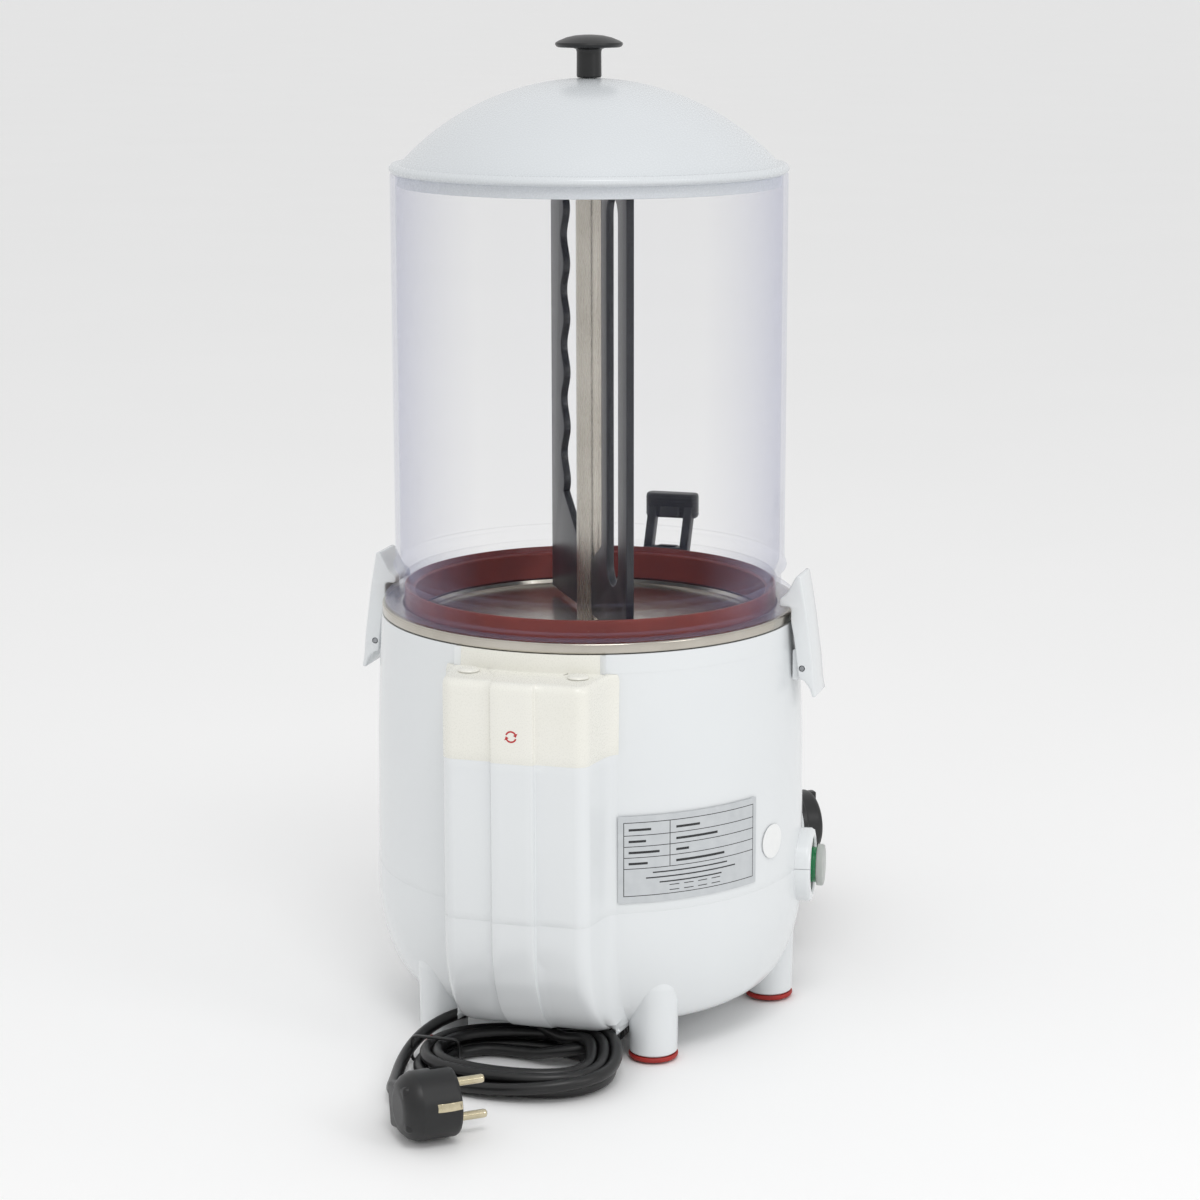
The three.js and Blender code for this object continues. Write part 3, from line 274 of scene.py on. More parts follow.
def joined(name, *things):
    """One object from several closed ones."""
    work = bmesh.new()
    for thing in things:
        work.from_mesh(thing.data)
        bpy.data.objects.remove(thing)
    mesh = bpy.data.meshes.new(name)
    work.to_mesh(mesh)
    work.free()
    return placed(name, mesh)


def side_of(thing, point, normal):
    """Keeps what lies on the far side of a plane, and closes the cut."""
    work = bmesh.new()
    work.from_mesh(thing.data)
    everything = work.verts[:] + work.edges[:] + work.faces[:]
    cut = bmesh.ops.bisect_plane(
        work, geom=everything, plane_co=point, plane_no=normal, clear_inner=True
    )
    rim = [e for e in cut["geom_cut"] if isinstance(e, bmesh.types.BMEdge)]
    bmesh.ops.contextual_create(work, geom=rim)
    bmesh.ops.recalc_face_normals(work, faces=work.faces)
    work.to_mesh(thing.data)
    work.free()
    return thing


def less(thing, *tools):
    """Cuts closed tools out of a closed piece."""
    settings = [("BOOLEAN", {"operation": "DIFFERENCE", "solver": "EXACT", "object": t}) for t in tools]
    baked(thing, *settings)
    for tool in tools:
        bpy.data.objects.remove(tool)
    return thing


def shown(thing, body, nodes, slot, *materials, smooth=35):
    """Finishes a piece: into the frame, shading, materials and body; the slot is not used."""
    thing.data.transform(TO_FRAME)
    thing.data.shade_smooth()
    thing.data.set_sharp_from_angle(angle=math.radians(smooth))
    thing.data.materials.clear()
    for material in materials:
        thing.data.materials.append(material)
    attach(thing, body)
    if nodes:
        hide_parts(*nodes)
    print(thing.name, len(thing.data.polygons), "faces")
    return thing


# %% [markdown]
# ## Material helpers
# Colours are written as sRGB hex values and turned to linear by one function.
# One function adds any node, sets its values and links what is given as another node's output.


# %% Material helpers
def linear(code):
    """An sRGB hex colour as linear RGBA."""
    parts = [int(code[i:i + 2], 16) / 255 for i in (1, 3, 5)]
    return [c / 12.92 if c <= 0.04045 else ((c + 0.055) / 1.055) ** 2.4 for c in parts] + [1]


def add(tree, kind, sockets=None, **settings):
    """Adds a node with its settings, and sets or links its sockets."""
    node = tree.nodes.new(kind)
    for key, value in settings.items():
        setattr(node, key, value)
    for key, value in (sockets or {}).items():
        if isinstance(value, bpy.types.NodeSocket):
            tree.links.new(value, node.inputs[key])
        else:
            node.inputs[key].default_value = value
    return node


def per_mm(size):
    """The scale of a noise with features about this many millimetres wide."""
    return 1 / (size * MM)


def finish(name, light, dark, patch, grain, bump, rough, spread=0.05, stretch=(1, 1, 1), **shader):
    """Two near colours in soft patches, a fine grain as bump, and roughness that varies a little."""
    material = bpy.data.materials.new(name)
    material.use_nodes = True
    tree = material.node_tree
    surface = tree.nodes["Principled BSDF"]
    where = add(tree, "ShaderNodeTexCoord").outputs["Object"]
    drawn = add(tree, "ShaderNodeMapping", {"Vector": where, "Scale": stretch}).outputs["Vector"]
    wide = add(tree, "ShaderNodeTexNoise", {"Vector": where, "Scale": per_mm(patch), "Detail": 3})
    fine = add(tree, "ShaderNodeTexNoise", {"Vector": drawn, "Scale": per_mm(grain), "Detail": 2})
    colour = add(
        tree, "ShaderNodeMix", {"Factor": wide.outputs["Fac"], "A": linear(dark), "B": linear(light)},
        data_type="RGBA",
    )
    shine = add(
        tree, "ShaderNodeMapRange",
        {"Value": fine.outputs["Fac"], "To Min": rough - spread, "To Max": rough + spread},
    )
    raised = add(
        tree, "ShaderNodeBump",
        {"Height": fine.outputs["Fac"], "Strength": 1, "Distance": bump * MM},
    )
    tree.links.new(colour.outputs["Result"], surface.inputs["Base Color"])
    tree.links.new(shine.outputs["Result"], surface.inputs["Roughness"])
    tree.links.new(raised.outputs["Normal"], surface.inputs["Normal"])
    for key, value in shader.items():
        surface.inputs[key.replace("_", " ")].default_value = value
    return material


def see_through(material, face_on, edge_on):
    """Lets light pass where the surface faces the eye, and less of it where it is seen edge on."""
    tree = material.node_tree
    view = add(tree, "ShaderNodeLayerWeight", {"Blend": 0.12})
    alpha = add(
        tree, "ShaderNodeMapRange",
        {"Value": view.outputs["Facing"], "From Min": 0.05, "To Min": face_on, "To Max": edge_on},
    )
    tree.links.new(alpha.outputs["Result"], tree.nodes["Principled BSDF"].inputs["Alpha"])


# %% [markdown]
# ## Materials
# The body is ABS from a polished mould: a white that is a little cool, with a soft clear shine.
# The lid came from a mould with an orange-peel texture, so its highlight breaks up at about 1 mm.
# The rear cover is natural ABS, which turns creamy because it has no blue whitener in it.
# Steel has the grain that a fine belt leaves.
# The bowl is clear polycarbonate, whose IOR is 1.58. Its wall is too thin to shift what is behind it,
# so it is clear face on, and the lilac tint of the plastic only shows where the wall is seen edge on.

# %% Materials
white_abs = finish("moulded_white_abs", "#e4e7e8", "#dfe2e4", 90, 0.9, 0.004, 0.2, IOR=1.53)
peel_abs = finish("textured_white_abs", "#d6dadd", "#d0d4d7", 70, 0.9, 0.012, 0.27, IOR=1.53)
cream_abs = finish("natural_cream_abs", "#edece5", "#e7e6dc", 45, 0.8, 0.006, 0.28, IOR=1.53)
black_nylon = finish("moulded_black_nylon", "#141517", "#0c0d0e", 12, 0.5, 0.02, 0.38, IOR=1.53)
stirrer_nylon = finish("worn_black_nylon", "#1d1e21", "#0e0f11", 18, 0.6, 0.02, 0.3, IOR=1.53)
black_pvc = finish("black_pvc_sheath", "#101011", "#070708", 25, 0.7, 0.02, 0.36, 0.08, IOR=1.53)
plug_rubber = finish("moulded_black_pvc", "#0f1011", "#070709", 15, 0.5, 0.03, 0.42, IOR=1.53)
brushed_steel = finish(
    "brushed_stainless_steel", "#cdc8bf", "#a8a297", 40, 0.5, 0.012, 0.27, 0.08,
    stretch=(1, 1, 0.03), Metallic=1.0,
)
spun_steel = finish(
    "spun_stainless_steel", "#d0cbc2", "#aaa499", 30, 0.45, 0.01, 0.22, 0.07,
    stretch=(0.06, 0.06, 1), Metallic=1.0,
)
zinc_steel = finish("zinc_plated_steel", "#b3b5b8", "#84878b", 8, 1.2, 0.02, 0.42, Metallic=1.0)
nickel_brass = finish("nickel_plated_brass", "#d9cfb6", "#bdb292", 5, 0.4, 0.006, 0.2, Metallic=1.0)
brown_silicone = finish("brown_silicone", "#8a3a30", "#5f211b", 22, 0.8, 0.02, 0.42, IOR=1.41)
red_rubber = finish("red_rubber", "#b22a22", "#8f1d18", 9, 0.6, 0.05, 0.6, IOR=1.52)
grey_silicone = finish("grey_silicone", "#9b9d9e", "#818385", 12, 0.7, 0.02, 0.55, IOR=1.41)
paper = finish("coated_paper", "#f1f2f1", "#e9eaea", 4, 0.2, 0.004, 0.5, IOR=1.5)
foil = finish("silver_film", "#cfd2d4", "#bcc0c3", 6, 0.3, 0.003, 0.33, 0.04, Metallic=0.35)
ink = finish("black_ink", "#2b2c2e", "#202123", 3, 0.2, 0.002, 0.5, IOR=1.5)
red_ink = finish("red_ink", "#c22a2e", "#b02226", 3, 0.2, 0.002, 0.5, IOR=1.5)
clear_pc = finish("clear_polycarbonate", "#b4b8d8", "#a9aed0", 80, 60, 0, 0.03, 0.01, IOR=1.58)
see_through(clear_pc, 0.01, 0.75)
green_pc = finish(
    "green_translucent_pc", "#12a05c", "#0b7f47", 10, 3, 0.004, 0.12, 0.02,
    Transmission_Weight=0.25, IOR=1.58,
)
frosted_silicone = finish(
    "frosted_clear_silicone", "#e6e9e6", "#d6dad6", 6, 0.8, 0.02, 0.35,
    Transmission_Weight=0.6, IOR=1.41,
)
print("materials:", len(bpy.data.materials))

# %% [markdown]
# ## The mains lead
# The lead is a black PVC cord, 7 mm across. It leaves the clamp under the tub, crosses the lower layer of
# its own bundle, is wound in oval turns on two layers, and ends in an angled plug. A formula winds the
# turns: the radius grows by about one diameter a turn on the lower layer and shrinks again on the upper.

# %% Mains lead
CORD_D = 7
COIL_X, COIL_Y = 2, 136
COIL_STRETCH = 15  # how much longer than wide a turn is, each side
INNER_TURN = 26.6
PITCH = 7.1
TURNS = 5
FIRST_ANGLE = math.radians(-78)
CROSSING = math.radians(215)  # where the upper layer passes over the lead from the machine
CROSSING_RISE = 7
LAYER_ONE = 3.7  # height of the middle of the lead on the lower layer
LAYER_RISE = 7.2
SWAY = 0.9  # how far a turn strays from its oval

entry = [
    (-41, 88, 10.5), (-41, 92, 10.5), (-40.8, 97, 10.6), (-39.8, 103, 10.9), (-36.6, 110, 11.1),
    (-31.5, 116, 11.1), (-25, 119.6, 10.8), (-18, 121, 9.6), (-11, 120.4, 7.7), (-4, 118, 5.6),
    (2.5, 114.6, 4.1),
]
lead_out = [
    (20, 86, 18.3), (33, 87, 18.4), (46, 92.5, 18), (57, 101.5, 16), (65, 113.5, 12.4),
    (69, 127, 8.4), (69.6, 141, 5.2), (67.5, 155, 3.9), (64.4, 168, 3.7), (61.8, 179, 4.1),
    (59.6, 188, 5.1), (57, 195.4, 6.4), (54.2, 200.2, 7.6),
]


def wound(turn):
    """A point on the winding after so many turns."""
    angle = FIRST_ANGLE + 2 * math.pi * turn
    layer = min(turn, TURNS - turn)
    width = INNER_TURN + PITCH * layer
    climb = min(max((turn - TURNS / 2) / 0.3 + 0.5, 0), 1)
    height = LAYER_ONE + LAYER_RISE * climb * climb * (3 - 2 * climb)
    apart = (angle - CROSSING + math.pi) % (2 * math.pi) - math.pi
    if turn > TURNS / 2:
        height += CROSSING_RISE * math.exp(-((apart / 0.5) ** 2))
    sway = SWAY * math.sin(3 * angle + 0.6)
    x = COIL_X + (width + sway) * math.cos(angle)
    x += COIL_STRETCH * math.sin(math.pi / 2 * math.cos(angle))
    return (x, COIL_Y + (width + sway) * math.sin(angle), height)


steps_per_turn = 24
winding = [wound(i / steps_per_turn) for i in range(1, TURNS * steps_per_turn - 1)]
route = [TO_FRAME @ Vector(p) for p in entry + winding + lead_out]
cord_curve = bpy.data.curves.new("mains_lead", "CURVE")
cord_curve.dimensions = "3D"
cord_curve.bevel_depth = CORD_D / 2 * MM
cord_curve.bevel_resolution = 5
cord_curve.resolution_u = 3
cord_curve.use_fill_caps = True
cord_line = cord_curve.splines.new("NURBS")
cord_line.points.add(len(route) - 1)
cord_line.order_u = 4
cord_line.use_endpoint_u = True
for point, place in zip(cord_line.points, route):
    point.co = (*place, 1)
cord_curve.materials.append(black_pvc)
cord = placed("mains_lead", cord_curve)
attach(cord, "root")
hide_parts("mains_cord", "cord_coil", "plug_lead")

# %% [markdown]
# ## Tie, strain relief and plug
# The plug is one PVC moulding: a round face with two pins, a flat angular back and a ribbed neck.
# It is drawn with its pins along +X and its neck along +Y, and one matrix lays it on the floor.

# %% Tie and clamp
tie_reach = INNER_TURN + COIL_STRETCH + COIL_X
tie_outer = rounded(oblong(tie_reach - 6, tie_reach + 24, -0.2, 16), 4)
tie_inner = rounded(oblong(tie_reach - 4.8, tie_reach + 22.8, 0.2, 14.8), 3.5)
stand_up = moved(0, COIL_Y, 0.25) @ spun(90, "X")
tie = plate("cord_tie_strap", [tie_outer, tie_inner], 2.8, 0.3, stand_up)
shown(tie, "root", ["cord_tie"], "black_rubber", black_pvc)


def ribbed_relief(name, start, length, wide, narrow, place):
    """A tapered sleeve with grooves, along +Z."""
    outline = [(0, start)]
    ribs = 6
    for i in range(ribs):
        low = start + length * i / ribs
        high = start + length * (i + 0.62) / ribs
        radius = wide + (narrow - wide) * i / ribs
        outline += [(radius - 0.2, low), (radius, low + 0.3), (radius, high - 0.3), (radius - 0.2, high)]
        outline += [(radius - 1.1, high + 0.2), (radius - 1.1, start + length * (i + 0.93) / ribs)]
    outline += [(narrow - 0.6, start + length), (0, start + length)]
    return turned(name, outline, 40, place, closed=False)


clamp_place = moved(-41, 62, 10.5) @ spun(-90, "X")
relief = ribbed_relief("relief", -2, 28, 6, 4.7, clamp_place)
clamp = eased(box("clamp", (-49, -29), (46, 62), (4, 17.7)), 1.2)
shown(joined("cord_clamp_block", relief, clamp), "root", ["cord_clamp"], "black_plastic", plug_rubber)

# %% Plug
plug_place = moved(20, 242.5, 19.3) @ spun(218.8, "Z") @ spun(-12, "X")
along_x = spun(90, "Y")
face = turned(
    "plug_face",
    [(0, -16), (9, -16), (13.4, -15.2), (17, -11.6), (19, -7), (19, 13.6), (18.2, 15), (15, 15),
     (14.2, 13.8), (0, 13.8)],
    72, plug_place @ along_x, closed=False,
)
grooves = [
    box("groove", (3, 16), (-3.2, 3.2), sorted((end * 15.8, end * 20)), plug_place) for end in (-1, 1)
]
less(face, *grooves)
side = rounded([(-13, 2), (-13, 17), (-7, 38), (9, 38), (12, 17), (12, 2)], 2.5)
neck = plate("plug_neck", [side], 18, 1.6, plug_place)
flat_back = eased(box("plug_back", (-15.6, 12), (-12, 18), (-12.5, 12.5), plug_place), 2.5, 30, 4)
sleeve = ribbed_relief(
    "plug_relief", 35, 19, 6.2, 4.5,
    plug_place @ moved(1, 0, 0) @ spun(-90, "X"),
)
plug = joined("plug_moulding", face, neck, flat_back, sleeve)
shown(plug, "root", ["plug_body"], "black_rubber", plug_rubber)
for i, height in enumerate((-9.5, 9.5)):
    pin = turned(
        f"plug_pin_{'ab'[i]}",
        [(0, 9.6), (2.4, 9.6), (2.4, 32.4), (2.1, 33.4), (1.2, 34), (0, 34)],
        32, plug_place @ moved(0, 0, height) @ along_x, closed=False,
    )
    shown(pin, "root", [f"plug_pin_{i + 1}"], "nickel", nickel_brass)
spring = [(-1, -18.2), (3, -19.9), (9, -20.1), (14.9, -18.6), (14.9, -17), (9, -18.8), (-1, -17)]
strip = plate("earth_spring", [rounded(spring, 1.5)], 4.6, 0.3, plug_place)
shown(strip, "root", [], "nickel", nickel_brass)

# %% [markdown]
# ## The round body
# The tub, the shell and the rear cover share one skin, so they are lofted together and then split at
# their seams. A level's outline is the round body with the housing standing out of it at the rear. The
# housing has a flat face, a centre rib, rounded corners and a soft root. The loft runs from the edge of
# the flat floor, round the lower edge, up to the tank's rim. Each part is then given its wall.

# %% Skin outline
FACE_Y = 150  # the housing's flat face
HALF_W = 43  # half of that face
FLARE = 5  # how much each side wall spreads towards its root
WALL_FOOT_Y = 110
CORNER = 8
ROOT_GAP = 3.2  # between the side wall and the plain round body
RIB_W = 12.5  # half of the rib
RIB_PROUD = 2.6
BOX_TOP = 232
BOX_EDGE = 5
COVER_FOOT = 186.3
TUB_STRAIGHT = 88  # above this height the tub's wall is upright
ROUND_W, ROUND_H = 30, 64  # the tub's lower edge
CURL_W = 52  # how far the housing's face curls under
ROUND_STEPS = 66
INNER_Y, INNER_HALF = 60, 36  # above the housing its outline hides inside the round body


def housing_half(face, half, rib):
    """Half of the housing's outline, from the middle of the rib to the root of the side wall."""
    points = [(0, face + rib), (RIB_W / 2, face + rib), (RIB_W - 1.2, face + rib)]
    points += [(RIB_W - 0.4, face + rib - 0.25), (RIB_W, face + rib - 0.9)]
    points += [(RIB_W + 0.2, face + min(0.5, rib / 4)), (RIB_W + 0.9, face)]
    points += [(RIB_W + 1 + (half - CORNER - RIB_W - 1) * k / 4, face) for k in range(1, 5)]
    points += arc(half - CORNER, face - CORNER, CORNER, 90, 0, 7)[1:]
    for k in range(1, 7):
        points.append((half + FLARE * k / 6, face - CORNER + (WALL_FOOT_Y - face + CORNER) * k / 6))
    return points


HOUSING_COUNT = len(housing_half(FACE_Y, HALF_W, RIB_PROUD))
STRIP_EDGE = HOUSING_COUNT - 4


def level(radius, face, half, rib):
    """The whole outline at one level, as (x, y) points going round from the rib."""
    root_turn = math.asin(min((half + FLARE + ROOT_GAP) / radius, 0.9))
    right = []
    for x, y in housing_half(face, half, rib):
        reach = math.hypot(x, y)
        soft = (reach ** 40 + radius ** 40) ** (1 / 40) if reach > radius - 6 else radius
        turn = min(math.atan2(x, y), root_turn - 0.004)
        grown = max(reach, radius) if reach > radius + 6 else soft
        right.append((grown * math.sin(turn), grown * math.cos(turn)))
    for k in range(ROUND_STEPS + 1):
        turn = root_turn + (math.pi - root_turn) * k / ROUND_STEPS
        right.append((radius * math.sin(turn), radius * math.cos(turn)))
    left = [(-x, y) for x, y in right[-2:0:-1]]
    return right + left


def round_radius(z):
    """The body's radius above the seam, drawn in a little towards the tank."""
    share = (z - SEAM) / (SHELL_TOP - SEAM)
    waist = 0.8
    return BODY_R - waist * min(share * 2, 1) - (BODY_R - TOP_R - waist) * max(share * 2 - 1, 0) ** 1.3


rows = []
for k in range(0, 15):
    turn = math.pi / 2 * k / 14
    radius = BODY_R - ROUND_W + ROUND_W * math.sin(turn)
    face = FACE_Y - CURL_W + CURL_W * math.sin(turn)
    height = TUB_FLOOR + ROUND_H * (1 - math.cos(turn))
    rows.append((height, radius, face, HALF_W, RIB_PROUD * min(k / 3, 1)))
rows += [(height, BODY_R, FACE_Y, HALF_W, RIB_PROUD) for height in (TUB_STRAIGHT, SEAM)]
tub_rows = len(rows)
for k in range(1, 19):
    height = SEAM + (COVER_FOOT - SEAM) * k / 18
    rows.append((height, round_radius(height), FACE_Y, HALF_W, RIB_PROUD))
foot_row = len(rows)
for k in range(1, 8):
    height = COVER_FOOT + (BOX_TOP - BOX_EDGE - COVER_FOOT) * k / 7
    rows.append((height, round_radius(height), FACE_Y, HALF_W, RIB_PROUD))
for k in range(1, 7):
    turn = math.pi / 2 * k / 6
    inward = BOX_EDGE * (1 - math.cos(turn))
    height = BOX_TOP - BOX_EDGE + BOX_EDGE * math.sin(turn)
    rows.append((height, round_radius(height), FACE_Y - inward, HALF_W - inward * 0.3, RIB_PROUD))
box_row = len(rows)
rows.append((BOX_TOP + 0.3, round_radius(BOX_TOP), INNER_Y, INNER_HALF, 0))
for height in (BOX_TOP + 1, 235, 239, SHELL_TOP - 0.6, SHELL_TOP):
    rows.append((height, round_radius(height), INNER_Y, INNER_HALF, 0))
print("skin rows", len(rows), "tub rows", tub_rows)


# %% Split the skin
def skin_part(name, keeps, floor=False):
    """The faces of the skin that a rule keeps, all facing outwards."""
    count = len(level(*rows[0][1:]))
    points = []
    for height, *sizes in rows:
        points += [(x, y, height) for x, y in level(*sizes)]
    faces = []
    for i in range(len(rows) - 1):
        for j in range(count):
            k = (j + 1) % count
            side = min(j, count - 1 - j)
            if keeps(i, side):
                faces.append((i * count + j, i * count + k, (i + 1) * count + k, (i + 1) * count + j))
    if floor:
        faces.append(tuple(range(count)))
    part = made(name, points, faces)
    work = bmesh.new()
    work.from_mesh(part.data)
    bmesh.ops.delete(work, geom=[v for v in work.verts if not v.link_faces], context="VERTS")
    middle = Vector((0, 0, (TUB_FLOOR + SHELL_TOP) / 2))
    if sum((f.calc_center_median() - middle).dot(f.normal) for f in work.faces) < 0:
        bmesh.ops.reverse_faces(work, faces=work.faces)
    work.to_mesh(part.data)
    work.free()
    return part


def thick(part):
    """Gives a sheet the moulded wall, inwards, and softens its edges."""
    baked(part, ("SOLIDIFY", {"thickness": WALL, "offset": -1, "use_even_offset": False}))
    return eased(part, 0.45, 60, 2)


def is_cover(i, side):
    """The cover is the upper housing, with a narrower strip above it."""
    below = foot_row - 1 <= i < box_row and side < HOUSING_COUNT
    above = i >= box_row and side < STRIP_EDGE
    return below or above


tub_skin = thick(skin_part("tub", lambda i, side: i < tub_rows - 1, floor=True))
shell_skin = thick(skin_part("shell", lambda i, side: i >= tub_rows - 1 and not is_cover(i, side)))
cover_skin = thick(skin_part("cover", is_cover))

# %% [markdown]
# ## Legs, pads and tray rails
# Five legs are moulded with the tub. Each is turned a little wider upwards and ends inside the tub. Two
# rails under the front carry the drip tray, and two bosses on the left carry the switch and the dial.

# %% Legs
LEG_SPREAD = 109
leg_places = []
for i in range(5):
    turn = math.radians(90 + 72 * (i + 0.5))
    leg_places.append(moved(LEG_SPREAD * math.cos(turn), LEG_SPREAD * math.sin(turn), 0))
leg_outline = [(0, 3.3), (12.8, 3.3), (13.8, 4.2), (14, 5.5), (14.4, 30), (14.9, 44), (13.6, 54)]
leg_outline += [(9, 61), (4, 63.5), (0, 64)]
legs = [turned("leg", leg_outline, 64, at, closed=False) for at in leg_places]
rails = [eased(box("rail", (x - 7, x + 7), (-197, -90), (18, 23.7)), 1) for x in (-46, 46)]


def outward(degrees, height):
    """Places a shape drawn along +Z to point outwards, so many degrees forward of the left side."""
    return moved(0, 0, height) @ spun(180 + degrees, "Z") @ along_x


at_switch = outward(7, (foot_of("switch_body") + top_of("switch_body")) / 2)
at_dial = outward(38, (foot_of("thermostat_knob") + top_of("thermostat_knob")) / 2)
hood_outline = [(16.6, 116), (22, 116), (22, 133.6), (21, 135.2), (19.8, 135.5), (17.6, 135.5)]
hood_outline += [(16.6, 134.6)]
disc_outline = [(4.5, 112), (24, 112), (24, 131), (22.8, 132.2), (4.5, 132.2)]
above = ((0, 0, SEAM + 0.15), (0, 0, 1))
below = ((0, 0, SEAM - 0.15), (0, 0, -1))
tub = joined(
    "base_tub_moulding", tub_skin, *legs, *rails,
    side_of(turned("hood_low", hood_outline, 72, at_switch), *below),
    side_of(turned("disc_low", disc_outline, 72, at_dial), *below),
)
shell = joined(
    "upper_shell_moulding", shell_skin,
    side_of(turned("hood_high", hood_outline, 72, at_switch), *above),
    side_of(turned("disc_high", disc_outline, 72, at_dial), *above),
)
shown(tub, "root", ["base_tub"], "white_plastic", white_abs)
shown(shell, "root", ["upper_shell"], "white_plastic", white_abs)
shown(cover_skin, "root", ["rear_cover"], "cream_plastic", cream_abs)
cover_skin.name = "rear_cover_moulding"

pad_outline = [(0, 0), (12.8, 0), (13.9, 0.5), (14.4, 1.4), (14.4, 2.4), (13.9, 3), (0, 3)]
for i, at in enumerate(leg_places, start=1):
    pad = turned(f"foot_{i}", pad_outline, 64, at, closed=False)
    shown(pad, "root", [f"foot_pad_{i}"], "red_rubber", red_rubber)

# %% [markdown]
# ## Filler plugs and the reset cap
# Two soft plugs close the filling holes of the water bath. The reset cap has a slot for a coin.
# A small turned arrow, printed in red above the cap, stands for its function.

# %% Filler plugs and reset cap
dome_outline = [(0, -8), (4.4, -8), (4.9, -7.4), (4.9, 0.4), (6.1, 0.5), (6.2, 0.9), (5.8, 1.6)]
dome_outline += [(4.6, 2.2), (2.4, 2.55), (0, 2.6)]
for name, x in (("left", -32), ("right", 32)):
    cap = turned(f"filler_dome_{name}", dome_outline, 48, moved(x, 130, BOX_TOP), closed=False)
    shown(cap, f"filler_plug_{name}", [f"filler_plug_{name}"], "cream_plastic", cream_abs)

out_y = moved(0, 0, COVER_FOOT) @ spun(-90, "X")
reset_outline = [(5.3, 141), (7.3, 141), (7.3, 148.5), (8.5, 148.5), (8.5, 151.6), (7.9, 152.4)]
reset_outline += [(0, 152.4), (0, 149.4), (5.3, 149.4)]
reset = turned("reset_disc", reset_outline, 64, out_y)
slot_tool = box("slot_tool", (-7.6, 7.6), (151.5, 153), (COVER_FOOT - 0.75, COVER_FOOT + 0.75))
shown(less(reset, slot_tool), "reset_cap", ["reset_cap"], "white_plastic", white_abs)

symbol = []
for start in (20, 200):
    band = arc(0, 0, 3.4, start, start + 130, 12) + arc(0, 0, 2.5, start + 130, start, 12)
    tip = start + 130
    head = [arc(0, 0, r, tip + a, tip + a, 1)[0] for r, a in ((4.4, 0), (2.9, 34), (1.5, 0))]
    symbol.append(plate("arc", [band], 0.12, 0.02))
    symbol.append(plate("head", [head], 0.12, 0.02))
arrow = joined("reset_symbol", *symbol)
arrow.data.transform(moved(0, 152.66, 202) @ spun(90, "X"))
shown(arrow, "root", [], "cream_plastic", red_ink)

# %% [markdown]
# ## Tank, gasket and bowl
# The tank is deep-drawn steel with a rolled rim. The bowl is turned as one closed wall, with a bead and
# a flange at its foot that the latches hold down.

# %% Tank, gasket and bowl
tank_outline = [(8.4, 237), (60, 236.6), (101, 237), (103, 237.6), (103.8, 239.6), (104.6, 240)]
tank_outline += [(109.4, 240), (110.6, 240.6), (110.9, 242), (110.9, 248), (111.2, 248.9), (112, RIM_TOP)]
tank_outline += arc(122.6, RIM_TOP - 1.1, 1.1, 90, 0, 5)
tank_outline += arc(122.6, RIM_TOP - 4.9, 1.0, 0, -90, 5)
tank_outline += [(122.3, RIM_TOP - 5.6), (122.3, RIM_TOP - 1.5), (112, RIM_TOP - 1.4)]
tank_outline += [(111.9, 239.4), (111.4, 239), (104.6, 239), (102.5, 236), (8.4, 236)]
tank = turned("tank_and_rim", tank_outline, 192)
shown(tank, "root", ["inner_tank"], "stainless_steel", spun_steel)

gasket_outline = [(104, 240.4), (110.5, 240.4), (110.5, 248.8), (110.1, 259.6), (109, 259.8)]
gasket_outline += [(108.1, 256.5), (104, 256.4)]
gasket = turned("bowl_seal", rounded(gasket_outline, 0.7, 3), 160)
shown(gasket, "root", ["bowl_gasket"], "brown_silicone", brown_silicone)

F = BOWL_FOOT  # kept short for the outline
bowl_outline = [(110.8, F), (121.4, F), (122, F + 0.6), (122, F + 3), (121.2, F + 3.8), (115.4, F + 3.8)]
bowl_outline += [(114.2, F + 4.3), (113.6, F + 6), (113.6, F + 16.4), (114.2, F + 18)]
bowl_outline += arc(115, F + 21.9, 1.8, -70, 70, 8)
bowl_outline += [(115.6, F + 25.4), (BOWL_R, F + 27.5), (BOWL_R, BOWL_TOP - 0.6), (115, BOWL_TOP)]
bowl_outline += [(113, BOWL_TOP), (112.5, BOWL_TOP - 0.6), (112.5, F + 26), (111.6, F + 23.4)]
bowl_outline += [(108.4, F + 15), (105.4, F + 7.4), (106.4, F + 7.2), (108.9, F + 13), (110, F + 14.8)]
bowl_outline += [(110.8, F + 13.6)]
shown(turned("clear_bowl", bowl_outline, 192), "root", ["bowl"], "clear_plastic", clear_pc, smooth=50)

# %% [markdown]
# ## Lid and knob
# The lid is one shallow dome with a rolled lip and a skirt that drops into the bowl.

# %% Lid and knob
DOME_EDGE = 110
HOLE_R = 2.8  # for the knob's screw
SKIRT_IN = 109.3  # inside of the skirt
dome_rise = LID_APEX - LID_SEAT - 4.9
sphere = (DOME_EDGE ** 2 + dome_rise ** 2) / (2 * dome_rise)


def dome(radius, inset=0.0):
    """A point on the dome, or that far inside it."""
    return (radius, LID_APEX - sphere + math.sqrt((sphere - inset) ** 2 - radius ** 2))


